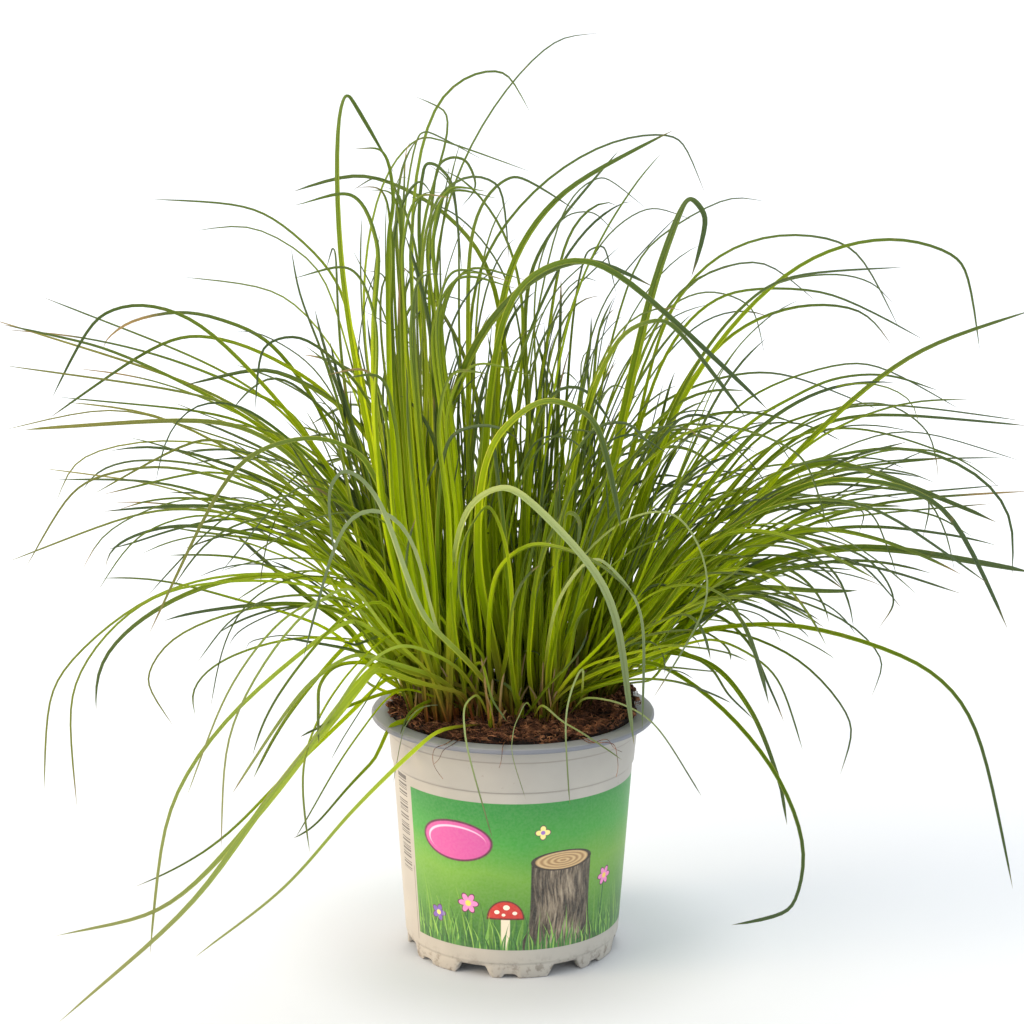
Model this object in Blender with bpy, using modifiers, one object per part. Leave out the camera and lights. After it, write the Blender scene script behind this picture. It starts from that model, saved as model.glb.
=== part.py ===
"""Potted umbrella sedge: six tufts of long folded leaves in a 12 cm nursery pot.

Sizes are in metres and +Z is up. The origin is on the ground, under the middle of the pot.
Each leaf follows a route drawn over a front view of the plant, as picture points, and a
real depth for its tip, so the leaves keep their places both in that view and in the round.
"""

import math

import bmesh
import bpy
import numpy as np
from mathutils import Vector

# Pot
POT_HEIGHT = 0.1035
RIM_RADIUS = 0.0600
RIM_THICKNESS = 0.0021
COLLAR_RADIUS = 0.0533
COLLAR_FOOT = 0.0956
SHOULDER_HEIGHT = 0.0825
SHOULDER_RADIUS = 0.0516
RIDGE_DEPTH = 0.0004
FOOT_HEIGHT = 0.0064
FOOT_RADIUS = 0.0450
FOOT_RING = 0.0034
WALL = 0.0013
FLOOR_UNDERSIDE = 0.0052
FLOOR_THICKNESS = 0.0016
POT_STEPS = 35
NOTCHES = 7
NOTCH_WIDTH = 0.0130
NOTCH_SPLAY = 0.0016
NOTCH_HEIGHT = 0.0048
FIRST_NOTCH = math.radians(-60.0)
DRAIN_RADIUS = 0.0040
DRAIN_CIRCLE = 0.0290
DRAIN_SIDES = 10

# Soil
SOIL_LEVEL = 0.1012
SOIL_RINGS = 7
SOIL_STEPS = 28
SOIL_HUMP = 0.0062
SOIL_HUMP_PLACE = (0.036, 0.012)
SOIL_HUMP_SPREAD = 0.020
SOIL_LUMPS = 0.0005
GAP = 0.0003
REST_GAP = 0.0006

# Crowns, and the planted part of the soil
CROWN_RADIUS = 0.0066
CROWN_HEIGHT = 0.0110
CROWN_RISE = 0.0180
CROWN_FLARE = 0.0025
SHOOT_RISE = 0.0140
PLANTED_CENTRE = (-0.004, 0.006)
PLANTED_HALF = (0.044, 0.033)
CROWN_KEEP = 0.0118
SPOT_SPACING = 0.0054
CROWNS = {
    "tuft_left": (-0.0400, 0.0140),
    "tuft_middle_left": (-0.0240, -0.0040),
    "tuft_middle": (-0.0020, -0.0080),
    "tuft_right": (0.0210, -0.0020),
    "tuft_back_left": (-0.0140, 0.0200),
    "tuft_back_right": (0.0120, 0.0230),
}

# Leaf section
LEAF_THICKNESS = 0.0009
TIP_THICKNESS = 0.0005
FOLD = 0.16
BASE_WIDTH = 0.50
EDGE_ON = math.radians(72.0)
SHARP_BEND = math.radians(45.0)
LENGTH_PER_SECTION = 0.105
TURN_PER_SECTION = math.radians(29.0)
FEWEST_SECTIONS = 4
MOST_SECTIONS = 12
CLEARANCE = 0.0007
REACH = 0.006
DEPTH_ROUNDS = 300
SPACE_ROUNDS = 400

# The front view that the leaf routes are drawn over: the eye's place, its tilt down, its
# roll, its focal length in picture points and the picture point that it looks at.
EYE = (0.0, -0.982, 0.391)
EYE_TILT = math.radians(11.65)
EYE_ROLL = math.radians(0.25)
EYE_FOCUS = 2400.0
EYE_CENTRE = (513.8, 512.0)

# Blades fused to each crown: depth of the tip, width, turn away from the viewer in degrees,
# and the route from just above the crown to the tip.
TUFT_BLADES = {
    "tuft_left": [
        (0.030, 0.0036, 45, [(400, 600), (372, 500), (345, 400), (337, 320), (337, 262), (333, 249), (326, 270)]),
        (-0.020, 0.0034, 50, [(395, 600), (365, 500), (335, 400), (312, 318), (293, 280), (289, 258), (291, 247)]),
        (0.050, 0.0037, 50, [(402, 600), (385, 500), (362, 400), (340, 290), (300, 240), (250, 208), (190, 195), (150, 199)]),
        (0.100, 0.0031, 55, [(398, 600), (375, 480), (350, 360), (318, 268), (262, 231), (229, 221), (194, 231)]),
        (0.135, 0.0029, 55, [(396, 600), (380, 490), (345, 370), (300, 309), (255, 282), (212, 273), (182, 277)]),
        (-0.030, 0.0041, 50, [(390, 600), (340, 490), (290, 420), (240, 362), (190, 320), (130, 306), (80, 335), (51, 400)]),
        (0.060, 0.0034, 50, [(388, 600), (335, 480), (280, 412), (205, 361), (145, 329), (85, 304), (40, 296)]),
        (-0.045, 0.0036, 50, [(415, 600), (398, 500), (370, 410), (336, 362), (300, 338), (270, 343), (254, 372), (255, 412)]),
        (0.020, 0.0041, 50, [(400, 600), (378, 500), (340, 410), (285, 366), (230, 342), (180, 339), (120, 359), (48, 419)]),
    ],
    "tuft_middle_left": [
        (-0.010, 0.0041, 35, [(412, 600), (385, 480), (357, 360), (344, 275), (338, 190), (341, 110), (347, 97), (366, 124), (395, 175)]),
        (0.090, 0.0036, 55, [(440, 600), (425, 480), (417, 360), (413, 250), (418, 165), (438, 103), (475, 73), (510, 76), (531, 114)]),
        (0.030, 0.0039, 50, [(428, 600), (412, 480), (401, 360), (402, 250), (411, 165), (421, 134), (442, 135), (485, 161)]),
        (0.050, 0.0037, 45, [(442, 600), (432, 480), (420, 360), (416, 260), (430, 185), (448, 135), (444, 110), (414, 96)]),
        (-0.030, 0.0036, 50, [(436, 600), (430, 480), (426, 380), (421, 285), (408, 220), (392, 185), (372, 178), (352, 191)]),
        (-0.020, 0.0037, 50, [(446, 600), (440, 480), (428, 370), (421, 275), (436, 200), (469, 176), (500, 188), (509, 262)]),
        (-0.050, 0.0031, 55, [(430, 600), (415, 500), (400, 400), (386, 310), (368, 264), (351, 247)]),
        (0.065, 0.0034, 55, [(420, 600), (396, 500), (372, 400), (364, 310), (370, 230), (392, 165), (424, 137), (465, 154), (534, 173)]),
        (0.000, 0.0043, 35, [(425, 600), (403, 470), (389, 350), (387, 270), (393, 205), (400, 178), (415, 180)]),
    ],
    "tuft_middle": [
        (0.130, 0.0032, 55, [(455, 600), (447, 480), (436, 360), (438, 250), (462, 165), (500, 98), (546, 48), (585, 29), (603, 33)]),
        (0.100, 0.0036, 50, [(480, 600), (476, 480), (470, 370), (478, 278), (514, 213), (575, 160), (640, 135), (682, 142), (706, 196)]),
        (0.050, 0.0046, 30, [(505, 600), (500, 480), (497, 370), (512, 270), (547, 213), (592, 167), (635, 142), (674, 130)]),
        (-0.065, 0.0046, 45, [(490, 600), (488, 480), (495, 370), (520, 290), (572, 262), (640, 287), (700, 330), (769, 411)]),
        (-0.115, 0.0046, 45, [(485, 600), (482, 500), (498, 440), (545, 403), (588, 418), (609, 458), (620, 505), (621, 530)]),
        (-0.020, 0.0049, 30, [(447, 600), (441, 500), (449, 420), (474, 350), (508, 302), (556, 268), (610, 263), (655, 288)]),
        (0.080, 0.0031, 55, [(520, 600), (530, 480), (552, 380), (580, 280), (615, 228), (660, 207), (698, 222)]),
        (0.110, 0.0031, 55, [(508, 600), (514, 480), (528, 370), (546, 265), (573, 196), (600, 178), (628, 188), (648, 210)]),
        (0.035, 0.0039, 45, [(472, 600), (474, 480), (470, 370), (468, 290), (478, 215), (500, 184), (522, 178), (577, 211)]),
    ],
    "tuft_right": [
        (-0.030, 0.0049, 25, [(590, 600), (612, 480), (640, 350), (657, 280), (673, 232), (690, 201), (703, 215), (702, 255), (691, 278)]),
        (0.060, 0.0037, 50, [(600, 600), (630, 470), (662, 330), (705, 267), (765, 237), (820, 238), (866, 259), (900, 330)]),
        (0.030, 0.0041, 45, [(605, 600), (645, 480), (700, 372), (760, 298), (825, 253), (900, 240), (955, 258), (979, 305), (980, 352)]),
        (0.090, 0.0032, 55, [(590, 600), (612, 470), (650, 350), (692, 282), (748, 262), (788, 270), (818, 303)]),
        (-0.020, 0.0039, 45, [(610, 600), (650, 470), (710, 345), (770, 287), (825, 267), (870, 265), (905, 267)]),
        (0.050, 0.0036, 50, [(595, 600), (632, 460), (672, 345), (720, 298), (792, 289), (850, 301), (892, 332), (926, 341)]),
        (0.125, 0.0032, 55, [(570, 600), (590, 460), (612, 340), (645, 250), (700, 214), (744, 194), (768, 202)]),
        (-0.080, 0.0041, 45, [(565, 600), (572, 490), (592, 400), (625, 335), (662, 322), (700, 352), (747, 420)]),
        (-0.060, 0.0036, 50, [(575, 600), (605, 520), (650, 460), (705, 427), (765, 437), (812, 470), (829, 533)]),
    ],
    "tuft_back_left": [
        (0.060, 0.0034, 50, [(470, 600), (458, 480), (447, 380), (441, 300), (444, 250), (440, 232)]),
        (0.050, 0.0036, 50, [(474, 600), (466, 480), (459, 370), (458, 270), (455, 205), (443, 173), (426, 163)]),
        (0.080, 0.0039, 45, [(500, 600), (510, 480), (505, 370), (488, 272), (450, 219), (397, 187), (335, 174), (292, 192)]),
        (0.040, 0.0036, 50, [(510, 600), (522, 480), (518, 370), (500, 268), (465, 224), (432, 198), (405, 195)]),
        (0.196, 0.0039, 40, [(490, 600), (492, 500), (495, 420), (500, 370), (506, 350), (512, 360)]),
        (0.185, 0.0037, 40, [(470, 600), (455, 500), (440, 430), (425, 390), (408, 380), (395, 392)]),
        (0.150, 0.0037, 45, [(455, 600), (430, 520), (400, 450), (368, 410), (335, 405), (310, 425)]),
        (0.140, 0.0037, 45, [(478, 600), (474, 500), (466, 420), (455, 350), (447, 320), (440, 330)]),
        (0.170, 0.0036, 45, [(462, 600), (446, 520), (420, 470), (388, 455), (352, 470), (330, 500)]),
    ],
    "tuft_back_right": [
        (0.090, 0.0039, 45, [(530, 600), (535, 480), (530, 370), (533, 275), (558, 218), (590, 176), (620, 149)]),
        (0.070, 0.0031, 55, [(535, 600), (538, 480), (535, 370), (541, 255), (568, 215), (600, 215), (618, 236)]),
        (0.090, 0.0032, 50, [(560, 600), (585, 480), (625, 370), (675, 303), (716, 292), (757, 314), (765, 357)]),
        (0.040, 0.0039, 35, [(550, 600), (556, 480), (560, 380), (561, 300), (561, 277)]),
        (0.060, 0.0036, 50, [(555, 600), (562, 500), (566, 420), (574, 320), (588, 253), (602, 247), (612, 265), (617, 297)]),
        (0.190, 0.0037, 40, [(560, 600), (575, 500), (592, 430), (608, 390), (625, 385), (640, 400)]),
        (0.160, 0.0037, 45, [(570, 600), (600, 510), (640, 450), (685, 425), (730, 432), (760, 455)]),
        (0.198, 0.0037, 40, [(545, 600), (545, 500), (548, 430), (556, 385), (568, 372), (580, 385)]),
        (0.120, 0.0034, 50, [(565, 600), (590, 500), (635, 425), (700, 385), (780, 373), (830, 382), (882, 411)]),
    ],
}

# Leaves that stand on their own: depth of the tip, or a depth for each point after the
# first, then width, turn and the route from the soil to the tip.
LEAVES = {
    "leaf_left_01": (0.030, 0.0041, 40, [(432, 697), (385, 590), (330, 490), (262, 425), (190, 382), (105, 343), (43, 327), (-12, 318)]),
    "leaf_left_02": (-0.054, 0.0039, 45, [(430, 702), (380, 600), (330, 500), (285, 437), (220, 401), (130, 375), (50, 365), (1, 365)]),
    "leaf_left_03": (-0.020, 0.0044, 35, [(420, 703), (375, 610), (330, 520), (290, 457), (230, 426), (165, 419), (90, 418), (23, 430)]),
    "leaf_left_04": (0.030, 0.0039, 45, [(435, 703), (390, 620), (340, 530), (295, 491), (235, 455), (155, 415), (90, 398), (64, 402)]),
    "leaf_left_05": (0.020, 0.0031, 55, [(428, 695), (380, 610), (335, 520), (290, 465), (225, 440), (160, 418), (100, 408), (45, 412), (0, 431)]),
    "leaf_left_06": (-0.140, 0.0053, 30, [(440, 712), (425, 620), (400, 520), (370, 465), (330, 441), (290, 441), (240, 465), (210, 510), (178, 575), (148, 636)]),
    "leaf_left_07": (-0.040, 0.0039, 45, [(425, 705), (390, 640), (340, 565), (285, 530), (215, 514), (145, 511), (75, 526), (7, 562)]),
    "leaf_left_08": (-0.070, 0.0039, 50, [(430, 707), (395, 630), (345, 550), (300, 511), (240, 486), (155, 467), (80, 487), (45, 525), (25, 569)]),
    "leaf_left_09": (0.060, 0.0036, 50, [(415, 700), (385, 620), (340, 530), (295, 480), (235, 449), (170, 440), (110, 447), (66, 470), (55, 505)]),
    "leaf_left_10": (0.030, 0.0034, 50, [(420, 707), (385, 650), (345, 590), (300, 558), (245, 523), (165, 484), (95, 465), (40, 468)]),
    "leaf_left_11": (-0.030, 0.0041, 45, [(410, 700), (375, 610), (330, 530), (270, 470), (230, 445), (195, 441), (150, 457), (92, 495)]),
    "leaf_left_12": (-0.060, 0.0043, 45, [(430, 710), (410, 640), (375, 600), (315, 579), (255, 574), (180, 586), (118, 619), (57, 682), (39, 755), (44, 792)]),
    "leaf_left_13": (-0.090, 0.0039, 50, [(420, 712), (400, 650), (365, 605), (305, 585), (230, 582), (155, 597), (92, 653), (64, 735), (77, 808)]),
    "leaf_left_14": (-0.020, 0.0036, 50, [(415, 708), (395, 650), (345, 612), (290, 604), (215, 618), (163, 648), (148, 687), (174, 727)]),
    "leaf_low_01": (-0.080, 0.0036, 50, [(418, 712), (390, 650), (345, 600), (292, 613), (250, 662), (210, 717), (190, 760), (187, 796)]),
    "leaf_low_02": (-0.110, 0.0041, 45, [(425, 714), (400, 655), (355, 622), (300, 656), (243, 703), (188, 775), (152, 860), (146, 910), (150, 955)]),
    "leaf_low_03": (-0.090, 0.0037, 50, [(424, 717), (400, 650), (350, 590), (300, 618), (258, 678), (226, 745), (215, 815), (221, 850)]),
    "leaf_low_04": (-0.070, 0.0044, 35, [(428, 716), (405, 670), (355, 657), (310, 685), (268, 728), (243, 762), (232, 794)]),
    "leaf_low_05": (-0.130, 0.0054, 20, [(432, 723), (418, 676), (385, 664), (352, 693), (318, 742), (262, 812), (209, 868), (150, 918), (90, 936), (55, 936)]),
    "leaf_low_06": (-0.155, 0.0051, 25, [(436, 727), (414, 684), (378, 672), (345, 708), (300, 763), (222, 857), (185, 918), (135, 975), (58, 1023)]),
    "leaf_low_07": (-0.110, 0.0039, 50, [(455, 724), (436, 656), (400, 647), (365, 668), (335, 710), (308, 762), (285, 793), (257, 810)]),
    "leaf_low_08": ([-0.050, -0.075, -0.105, -0.135, -0.155, -0.165], 0.0036, 45, [(470, 722), (440, 733), (395, 772), (340, 825), (280, 893), (235, 938), (194, 958)]),
    "leaf_front_01": ([-0.035, -0.055, -0.066, -0.069, -0.075], 0.0029, 50, [(482, 724), (477, 696), (466, 705), (467, 745), (473, 780), (493, 840)]),
    "leaf_front_02": ([-0.045, -0.058, -0.068, -0.070, -0.072], 0.0034, 45, [(585, 722), (582, 670), (572, 690), (566, 725), (567, 770), (570, 806)]),
    "leaf_front_03": ([-0.030, -0.048, -0.052, -0.052], 0.0029, 50, [(440, 708), (425, 706), (408, 722), (398, 750), (393, 784)]),
    "leaf_front_04": ([-0.028, -0.050, -0.062, -0.068, -0.070], 0.0029, 50, [(527, 723), (540, 706), (565, 724), (590, 738), (610, 750), (622, 760)]),
    "leaf_front_05": ([-0.035, -0.058, -0.068, -0.070, -0.072], 0.0029, 50, [(540, 716), (530, 706), (517, 720), (512, 750), (516, 775), (526, 800)]),
    "leaf_front_06": (-0.195, 0.0058, 20, [(462, 714), (455, 600), (468, 510), (505, 488), (555, 527), (605, 590), (630, 660), (637, 715), (634, 745)]),
    "leaf_front_07": (-0.130, 0.0041, 45, [(545, 718), (560, 600), (595, 560), (630, 592), (648, 640), (652, 690), (642, 732)]),
    "leaf_front_08": (-0.120, 0.0036, 50, [(530, 714), (560, 610), (595, 545), (640, 514), (675, 515), (701, 550), (707, 600), (693, 650), (652, 700)]),
    "leaf_front_09": ([-0.030, -0.045, -0.055, -0.062, -0.068], 0.0029, 50, [(560, 718), (582, 700), (620, 704), (652, 723), (680, 752), (702, 797)]),
    "leaf_front_10": (-0.150, 0.0044, 35, [(450, 727), (424, 620), (395, 540), (368, 486), (345, 472), (330, 490), (325, 530), (335, 560)]),
    "leaf_front_11": (-0.165, 0.0049, 30, [(450, 720), (435, 620), (415, 545), (385, 512), (355, 515), (325, 560), (308, 615), (303, 660)]),
    "leaf_right_01": (-0.020, 0.0063, 15, [(585, 712), (625, 645), (680, 582), (733, 523), (787, 462), (836, 418), (885, 376), (934, 342), (985, 316), (1036, 309)]),
    "leaf_right_02": (0.070, 0.0039, 45, [(590, 706), (635, 580), (690, 470), (740, 405), (790, 379), (850, 364), (905, 372), (963, 411)]),
    "leaf_right_03": (0.050, 0.0037, 45, [(590, 702), (645, 600), (705, 505), (765, 433), (840, 410), (915, 400), (980, 407), (1024, 421)]),
    "leaf_right_04": (0.020, 0.0043, 40, [(600, 708), (660, 600), (725, 510), (790, 443), (860, 415), (930, 410), (1000, 419), (1030, 426)]),
    "leaf_right_05": (0.064, 0.0032, 55, [(595, 700), (650, 610), (720, 530), (800, 470), (860, 441), (920, 430), (975, 439), (1024, 462)]),
    "leaf_right_06": (-0.040, 0.0044, 40, [(600, 712), (650, 620), (715, 540), (790, 475), (850, 453), (915, 449), (985, 480), (1018, 540), (1012, 578)]),
    "leaf_right_07": (0.000, 0.0049, 30, [(605, 708), (660, 620), (730, 530), (800, 470), (860, 466), (920, 483), (960, 500), (998, 523)]),
    "leaf_right_08": (-0.070, 0.0049, 30, [(608, 712), (670, 610), (735, 530), (800, 487), (860, 480), (925, 497), (965, 535), (990, 595), (1008, 630)]),
    "leaf_right_09": (-0.010, 0.0041, 45, [(600, 710), (660, 635), (730, 570), (820, 523), (900, 495), (970, 486), (1034, 491)]),
    "leaf_right_10": (0.040, 0.0039, 45, [(610, 705), (670, 620), (740, 550), (815, 507), (880, 492), (945, 484), (1003, 485)]),
    "leaf_right_11": (-0.090, 0.0041, 45, [(595, 714), (650, 630), (710, 545), (780, 505), (840, 501), (905, 522), (960, 566), (990, 585)]),
    "leaf_right_12": (-0.030, 0.0051, 30, [(605, 712), (665, 630), (740, 575), (815, 556), (905, 544), (975, 556), (1034, 573)]),
    "leaf_right_13": (-0.060, 0.0039, 45, [(598, 714), (655, 640), (720, 592), (790, 562), (845, 558), (885, 580), (903, 610)]),
    "leaf_right_14": (-0.080, 0.0046, 45, [(600, 716), (640, 655), (700, 633), (790, 626), (870, 645), (930, 672), (978, 732), (1005, 812), (1013, 890)]),
    "leaf_right_15": (-0.090, 0.0043, 45, [(605, 718), (640, 662), (700, 692), (755, 745), (790, 805), (803, 861), (785, 912), (731, 925)]),
    "leaf_right_16": (-0.050, 0.0041, 45, [(595, 716), (650, 650), (713, 630), (787, 653), (830, 690), (853, 735), (840, 775)]),
    "leaf_right_17": (0.030, 0.0037, 50, [(590, 710), (650, 625), (720, 591), (790, 598), (855, 627), (883, 665), (871, 698)]),
    "leaf_right_18": (-0.095, 0.0037, 45, [(598, 718), (650, 660), (710, 640), (767, 668), (799, 717), (803, 751)]),
    "leaf_right_19": (-0.125, 0.0046, 35, [(600, 715), (650, 630), (700, 598), (740, 615), (762, 655), (769, 705)]),
}

LEAF_COLOURS = {
    "leaf_left": (0.20, 0.29, 0.03),
    "leaf_low": (0.27, 0.36, 0.05),
    "leaf_front": (0.25, 0.32, 0.12),
    "leaf_right": (0.17, 0.27, 0.04),
    "tuft": (0.23, 0.32, 0.03),
}


def sight_axes():
    """The eye's right, forward and up directions."""
    right = np.array([1.0, 0.0, 0.0])
    forward = np.array([0.0, math.cos(EYE_TILT), -math.sin(EYE_TILT)])
    up = np.array([0.0, math.sin(EYE_TILT), math.cos(EYE_TILT)])
    return right, forward, up


def to_space(seen):
    """World points of rows (picture x, picture y, depth), along the lines of sight."""
    seen = np.asarray(seen, float)
    right, forward, up = sight_axes()
    across = seen[:, 0] - EYE_CENTRE[0]
    rise = EYE_CENTRE[1] - seen[:, 1]
    u = math.cos(EYE_ROLL) * across - math.sin(EYE_ROLL) * rise
    v = math.sin(EYE_ROLL) * across + math.cos(EYE_ROLL) * rise
    line = EYE_FOCUS * forward + np.outer(u, right) + np.outer(v, up)
    return np.array(EYE) + line * ((seen[:, 2] - EYE[1]) / line[:, 1])[:, None]


def to_sight(points):
    """Rows (picture x, picture y, depth) of world points."""
    points = np.asarray(points, float)
    right, forward, up = sight_axes()
    away = points - np.array(EYE)
    scale = EYE_FOCUS / (away @ forward)
    u = (away @ right) * scale
    v = (away @ up) * scale
    x = EYE_CENTRE[0] + math.cos(EYE_ROLL) * u + math.sin(EYE_ROLL) * v
    y = EYE_CENTRE[1] + math.sin(EYE_ROLL) * u - math.cos(EYE_ROLL) * v
    return np.column_stack([x, y, points[:, 1]])


def on_soil_plane(seen_x, seen_y):
    """The point where a line of sight meets the level of the soil."""
    near, far = to_space([(seen_x, seen_y, 0.0), (seen_x, seen_y, 0.1)])
    share = (SOIL_LEVEL - near[2]) / (far[2] - near[2])
    return near + (far - near) * share


def soil_height(x, y):
    """Height of the soil: level, with a soft hump at the back right and small lumps."""
    away = (x - SOIL_HUMP_PLACE[0]) ** 2 + (y - SOIL_HUMP_PLACE[1]) ** 2
    hump = SOIL_HUMP * math.exp(-away / (2 * SOIL_HUMP_SPREAD**2))
    lumps = math.sin(260 * x + 1.3) * math.sin(230 * y + 0.4) + 0.6 * math.sin(190 * (x - y))
    return SOIL_LEVEL + hump + SOIL_LUMPS * lumps


def smooth_route(points, samples=140):
    """A centripetal Catmull-Rom curve through the rows of points."""
    points = np.asarray(points, float)
    ends = np.vstack([2 * points[0] - points[1], points, 2 * points[-1] - points[-2]])
    knots = np.concatenate([[0.0], np.cumsum(np.sqrt(np.linalg.norm(np.diff(ends, axis=0), axis=1)))])
    where = np.linspace(knots[1], knots[-2], samples)
    span = np.clip(np.searchsorted(knots, where, side="right") - 1, 1, len(ends) - 3)
    t = [knots[span + k] for k in range(-1, 3)]
    p = [ends[span + k] for k in range(-1, 3)]

    def between(a, b, ta, tb):
        share = ((where - ta) / (tb - ta))[:, None]
        return a + (b - a) * share

    a1 = between(p[0], p[1], t[0], t[1])
    a2 = between(p[1], p[2], t[1], t[2])
    a3 = between(p[2], p[3], t[2], t[3])
    b1 = between(a1, a2, t[0], t[2])
    b2 = between(a2, a3, t[1], t[3])
    return between(b1, b2, t[1], t[2])


def with_depths(start, depth, seen):
    """Rows (picture x, picture y, depth) of a route: the depth runs from start to the tip."""
    seen = np.asarray(seen, float)
    if isinstance(depth, list):
        return np.column_stack([seen, [start] + depth])
    run = np.concatenate([[0.0], np.cumsum(np.linalg.norm(np.diff(seen, axis=0), axis=1))])
    share = (run / run[-1]) ** 1.35
    return np.column_stack([seen, start + (depth - start) * share])


def choose_sections(dense):
    """Rows of the dense route where the leaf has a section, closer together at its bends."""
    space = to_space(dense)
    steps = np.diff(space, axis=0)
    lengths = np.linalg.norm(steps, axis=1)
    ways = steps / lengths[:, None]
    turns = np.arccos(np.clip(np.sum(ways[1:] * ways[:-1], axis=1), -1, 1))
    turns = np.concatenate([[0.0], turns])
    cost = np.concatenate([[0.0], np.cumsum(lengths / LENGTH_PER_SECTION + turns / TURN_PER_SECTION)])
    count = int(np.clip(round(cost[-1]) + 1, FEWEST_SECTIONS, MOST_SECTIONS))
    wanted = np.linspace(0.0, cost[-1], count + 1)
    picks = np.searchsorted(cost, wanted).clip(0, len(dense) - 1)
    picks[0], picks[-1] = 0, len(dense) - 1
    return dense[np.unique(picks)]


def share_along(places):
    """Each section's share of the leaf's length, from 0 at the base to 1 at the tip."""
    lengths = np.linalg.norm(np.diff(places, axis=0), axis=1)
    run = np.concatenate([[0.0], np.cumsum(lengths)])
    return run / run[-1]


def width_at(share):
    """Width along a leaf as a share of its full width: narrow sheath, full blade, long tip."""
    opening = BASE_WIDTH + (1 - BASE_WIDTH) * np.clip(share / 0.25, 0, 1)
    taper = 1 - np.clip((share - 0.15) / 0.85, 0, 1) ** 1.15
    return opening * (0.14 + 0.86 * taper)


def free_spots():
    """Places on the planted soil for single leaves, on a sunflower spiral, clear of the crowns."""
    spots = []
    golden = math.pi * (3 - math.sqrt(5))
    for number in range(600):
        reach = SPOT_SPACING * 0.56 * math.sqrt(number)
        x = PLANTED_CENTRE[0] + reach * math.cos(golden * number)
        y = PLANTED_CENTRE[1] + reach * math.sin(golden * number)
        across = ((x - PLANTED_CENTRE[0]) / PLANTED_HALF[0]) ** 2
        along = ((y - PLANTED_CENTRE[1]) / PLANTED_HALF[1]) ** 2
        clear = all(math.hypot(x - cx, y - cy) > CROWN_KEEP for cx, cy in CROWNS.values())
        if across + along < 1 and clear:
            spots.append((x, y))
    return spots


def single_routes():
    """Sections of each single leaf, with its base on the free spot nearest to its own."""
    spots = free_spots()
    routes = []
    for name, (depth, width, turn, seen) in LEAVES.items():
        wish = on_soil_plane(*seen[0])
        spot = min(spots, key=lambda s: math.hypot(s[0] - wish[0], s[1] - wish[1]))
        spots.remove(spot)
        foot = np.array([spot[0], spot[1], soil_height(*spot) + REST_GAP])
        rise = foot + np.array([0.0, 0.0, SHOOT_RISE])
        first, second = to_sight([foot, rise])
        rows = with_depths(spot[1], depth, [first[:2]] + seen[1:])
        if not isinstance(depth, list):
            rows = np.vstack([rows[0], second, rows[1:]])
        sections = choose_sections(smooth_route(rows))
        routes.append({"name": name, "sections": sections, "width": width, "turn": turn})
    return routes


def crown_sides(name):
    """Angles of a crown's side faces, one to each of its blades."""
    count = len(TUFT_BLADES[name])
    return [2 * math.pi * (number + 0.5) / count for number in range(count)]


def crown_foot(name):
    """Height at which a crown rests, just over the highest soil beneath it."""
    x, y = CROWNS[name]
    ring = [(x + CROWN_RADIUS * math.cos(a), y + CROWN_RADIUS * math.sin(a)) for a in crown_sides(name)]
    return max(soil_height(*place) for place in ring + [(x, y)]) + REST_GAP


def tuft_routes():
    """Sections of each crown's blades, given out to its side faces by the way they lean."""
    routes = []
    for name, blades in TUFT_BLADES.items():
        x, y = CROWNS[name]
        foot = crown_foot(name)
        sides = crown_sides(name)
        lean = []
        for number, (depth, _, _, seen) in enumerate(blades):
            middle = seen[len(seen) // 2]
            place = to_space([(middle[0], middle[1], y + 0.4 * (depth - y))])[0]
            lean.append((math.atan2(place[1] - y, place[0] - x) % (2 * math.pi), number))
        lean.sort()
        turned = []
        for shift in range(len(sides)):
            gaps = [math.cos(angle - sides[(k + shift) % len(sides)]) for k, (angle, _) in enumerate(lean)]
            turned.append((sum(gaps), shift))
        shift = max(turned)[1]
        for k, (_, number) in enumerate(lean):
            depth, width, turn, seen = blades[number]
            side = (k + shift) % len(sides)
            out = np.array([math.cos(sides[side]), math.sin(sides[side]), 0.0])
            face = np.array([x, y, foot + 0.5 * CROWN_HEIGHT]) + out * CROWN_RADIUS * 0.95
            rise = face + out * CROWN_FLARE + np.array([0.0, 0.0, CROWN_RISE])
            start = to_sight([face, rise])
            rows = with_depths(rise[1], depth, [start[1][:2]] + seen)
            rows = np.vstack([start[0], rows])
            sections = choose_sections(smooth_route(rows))
            routes.append(
                {"name": name, "side": side, "sections": sections, "width": width, "turn": turn}
            )
    return routes


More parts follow.
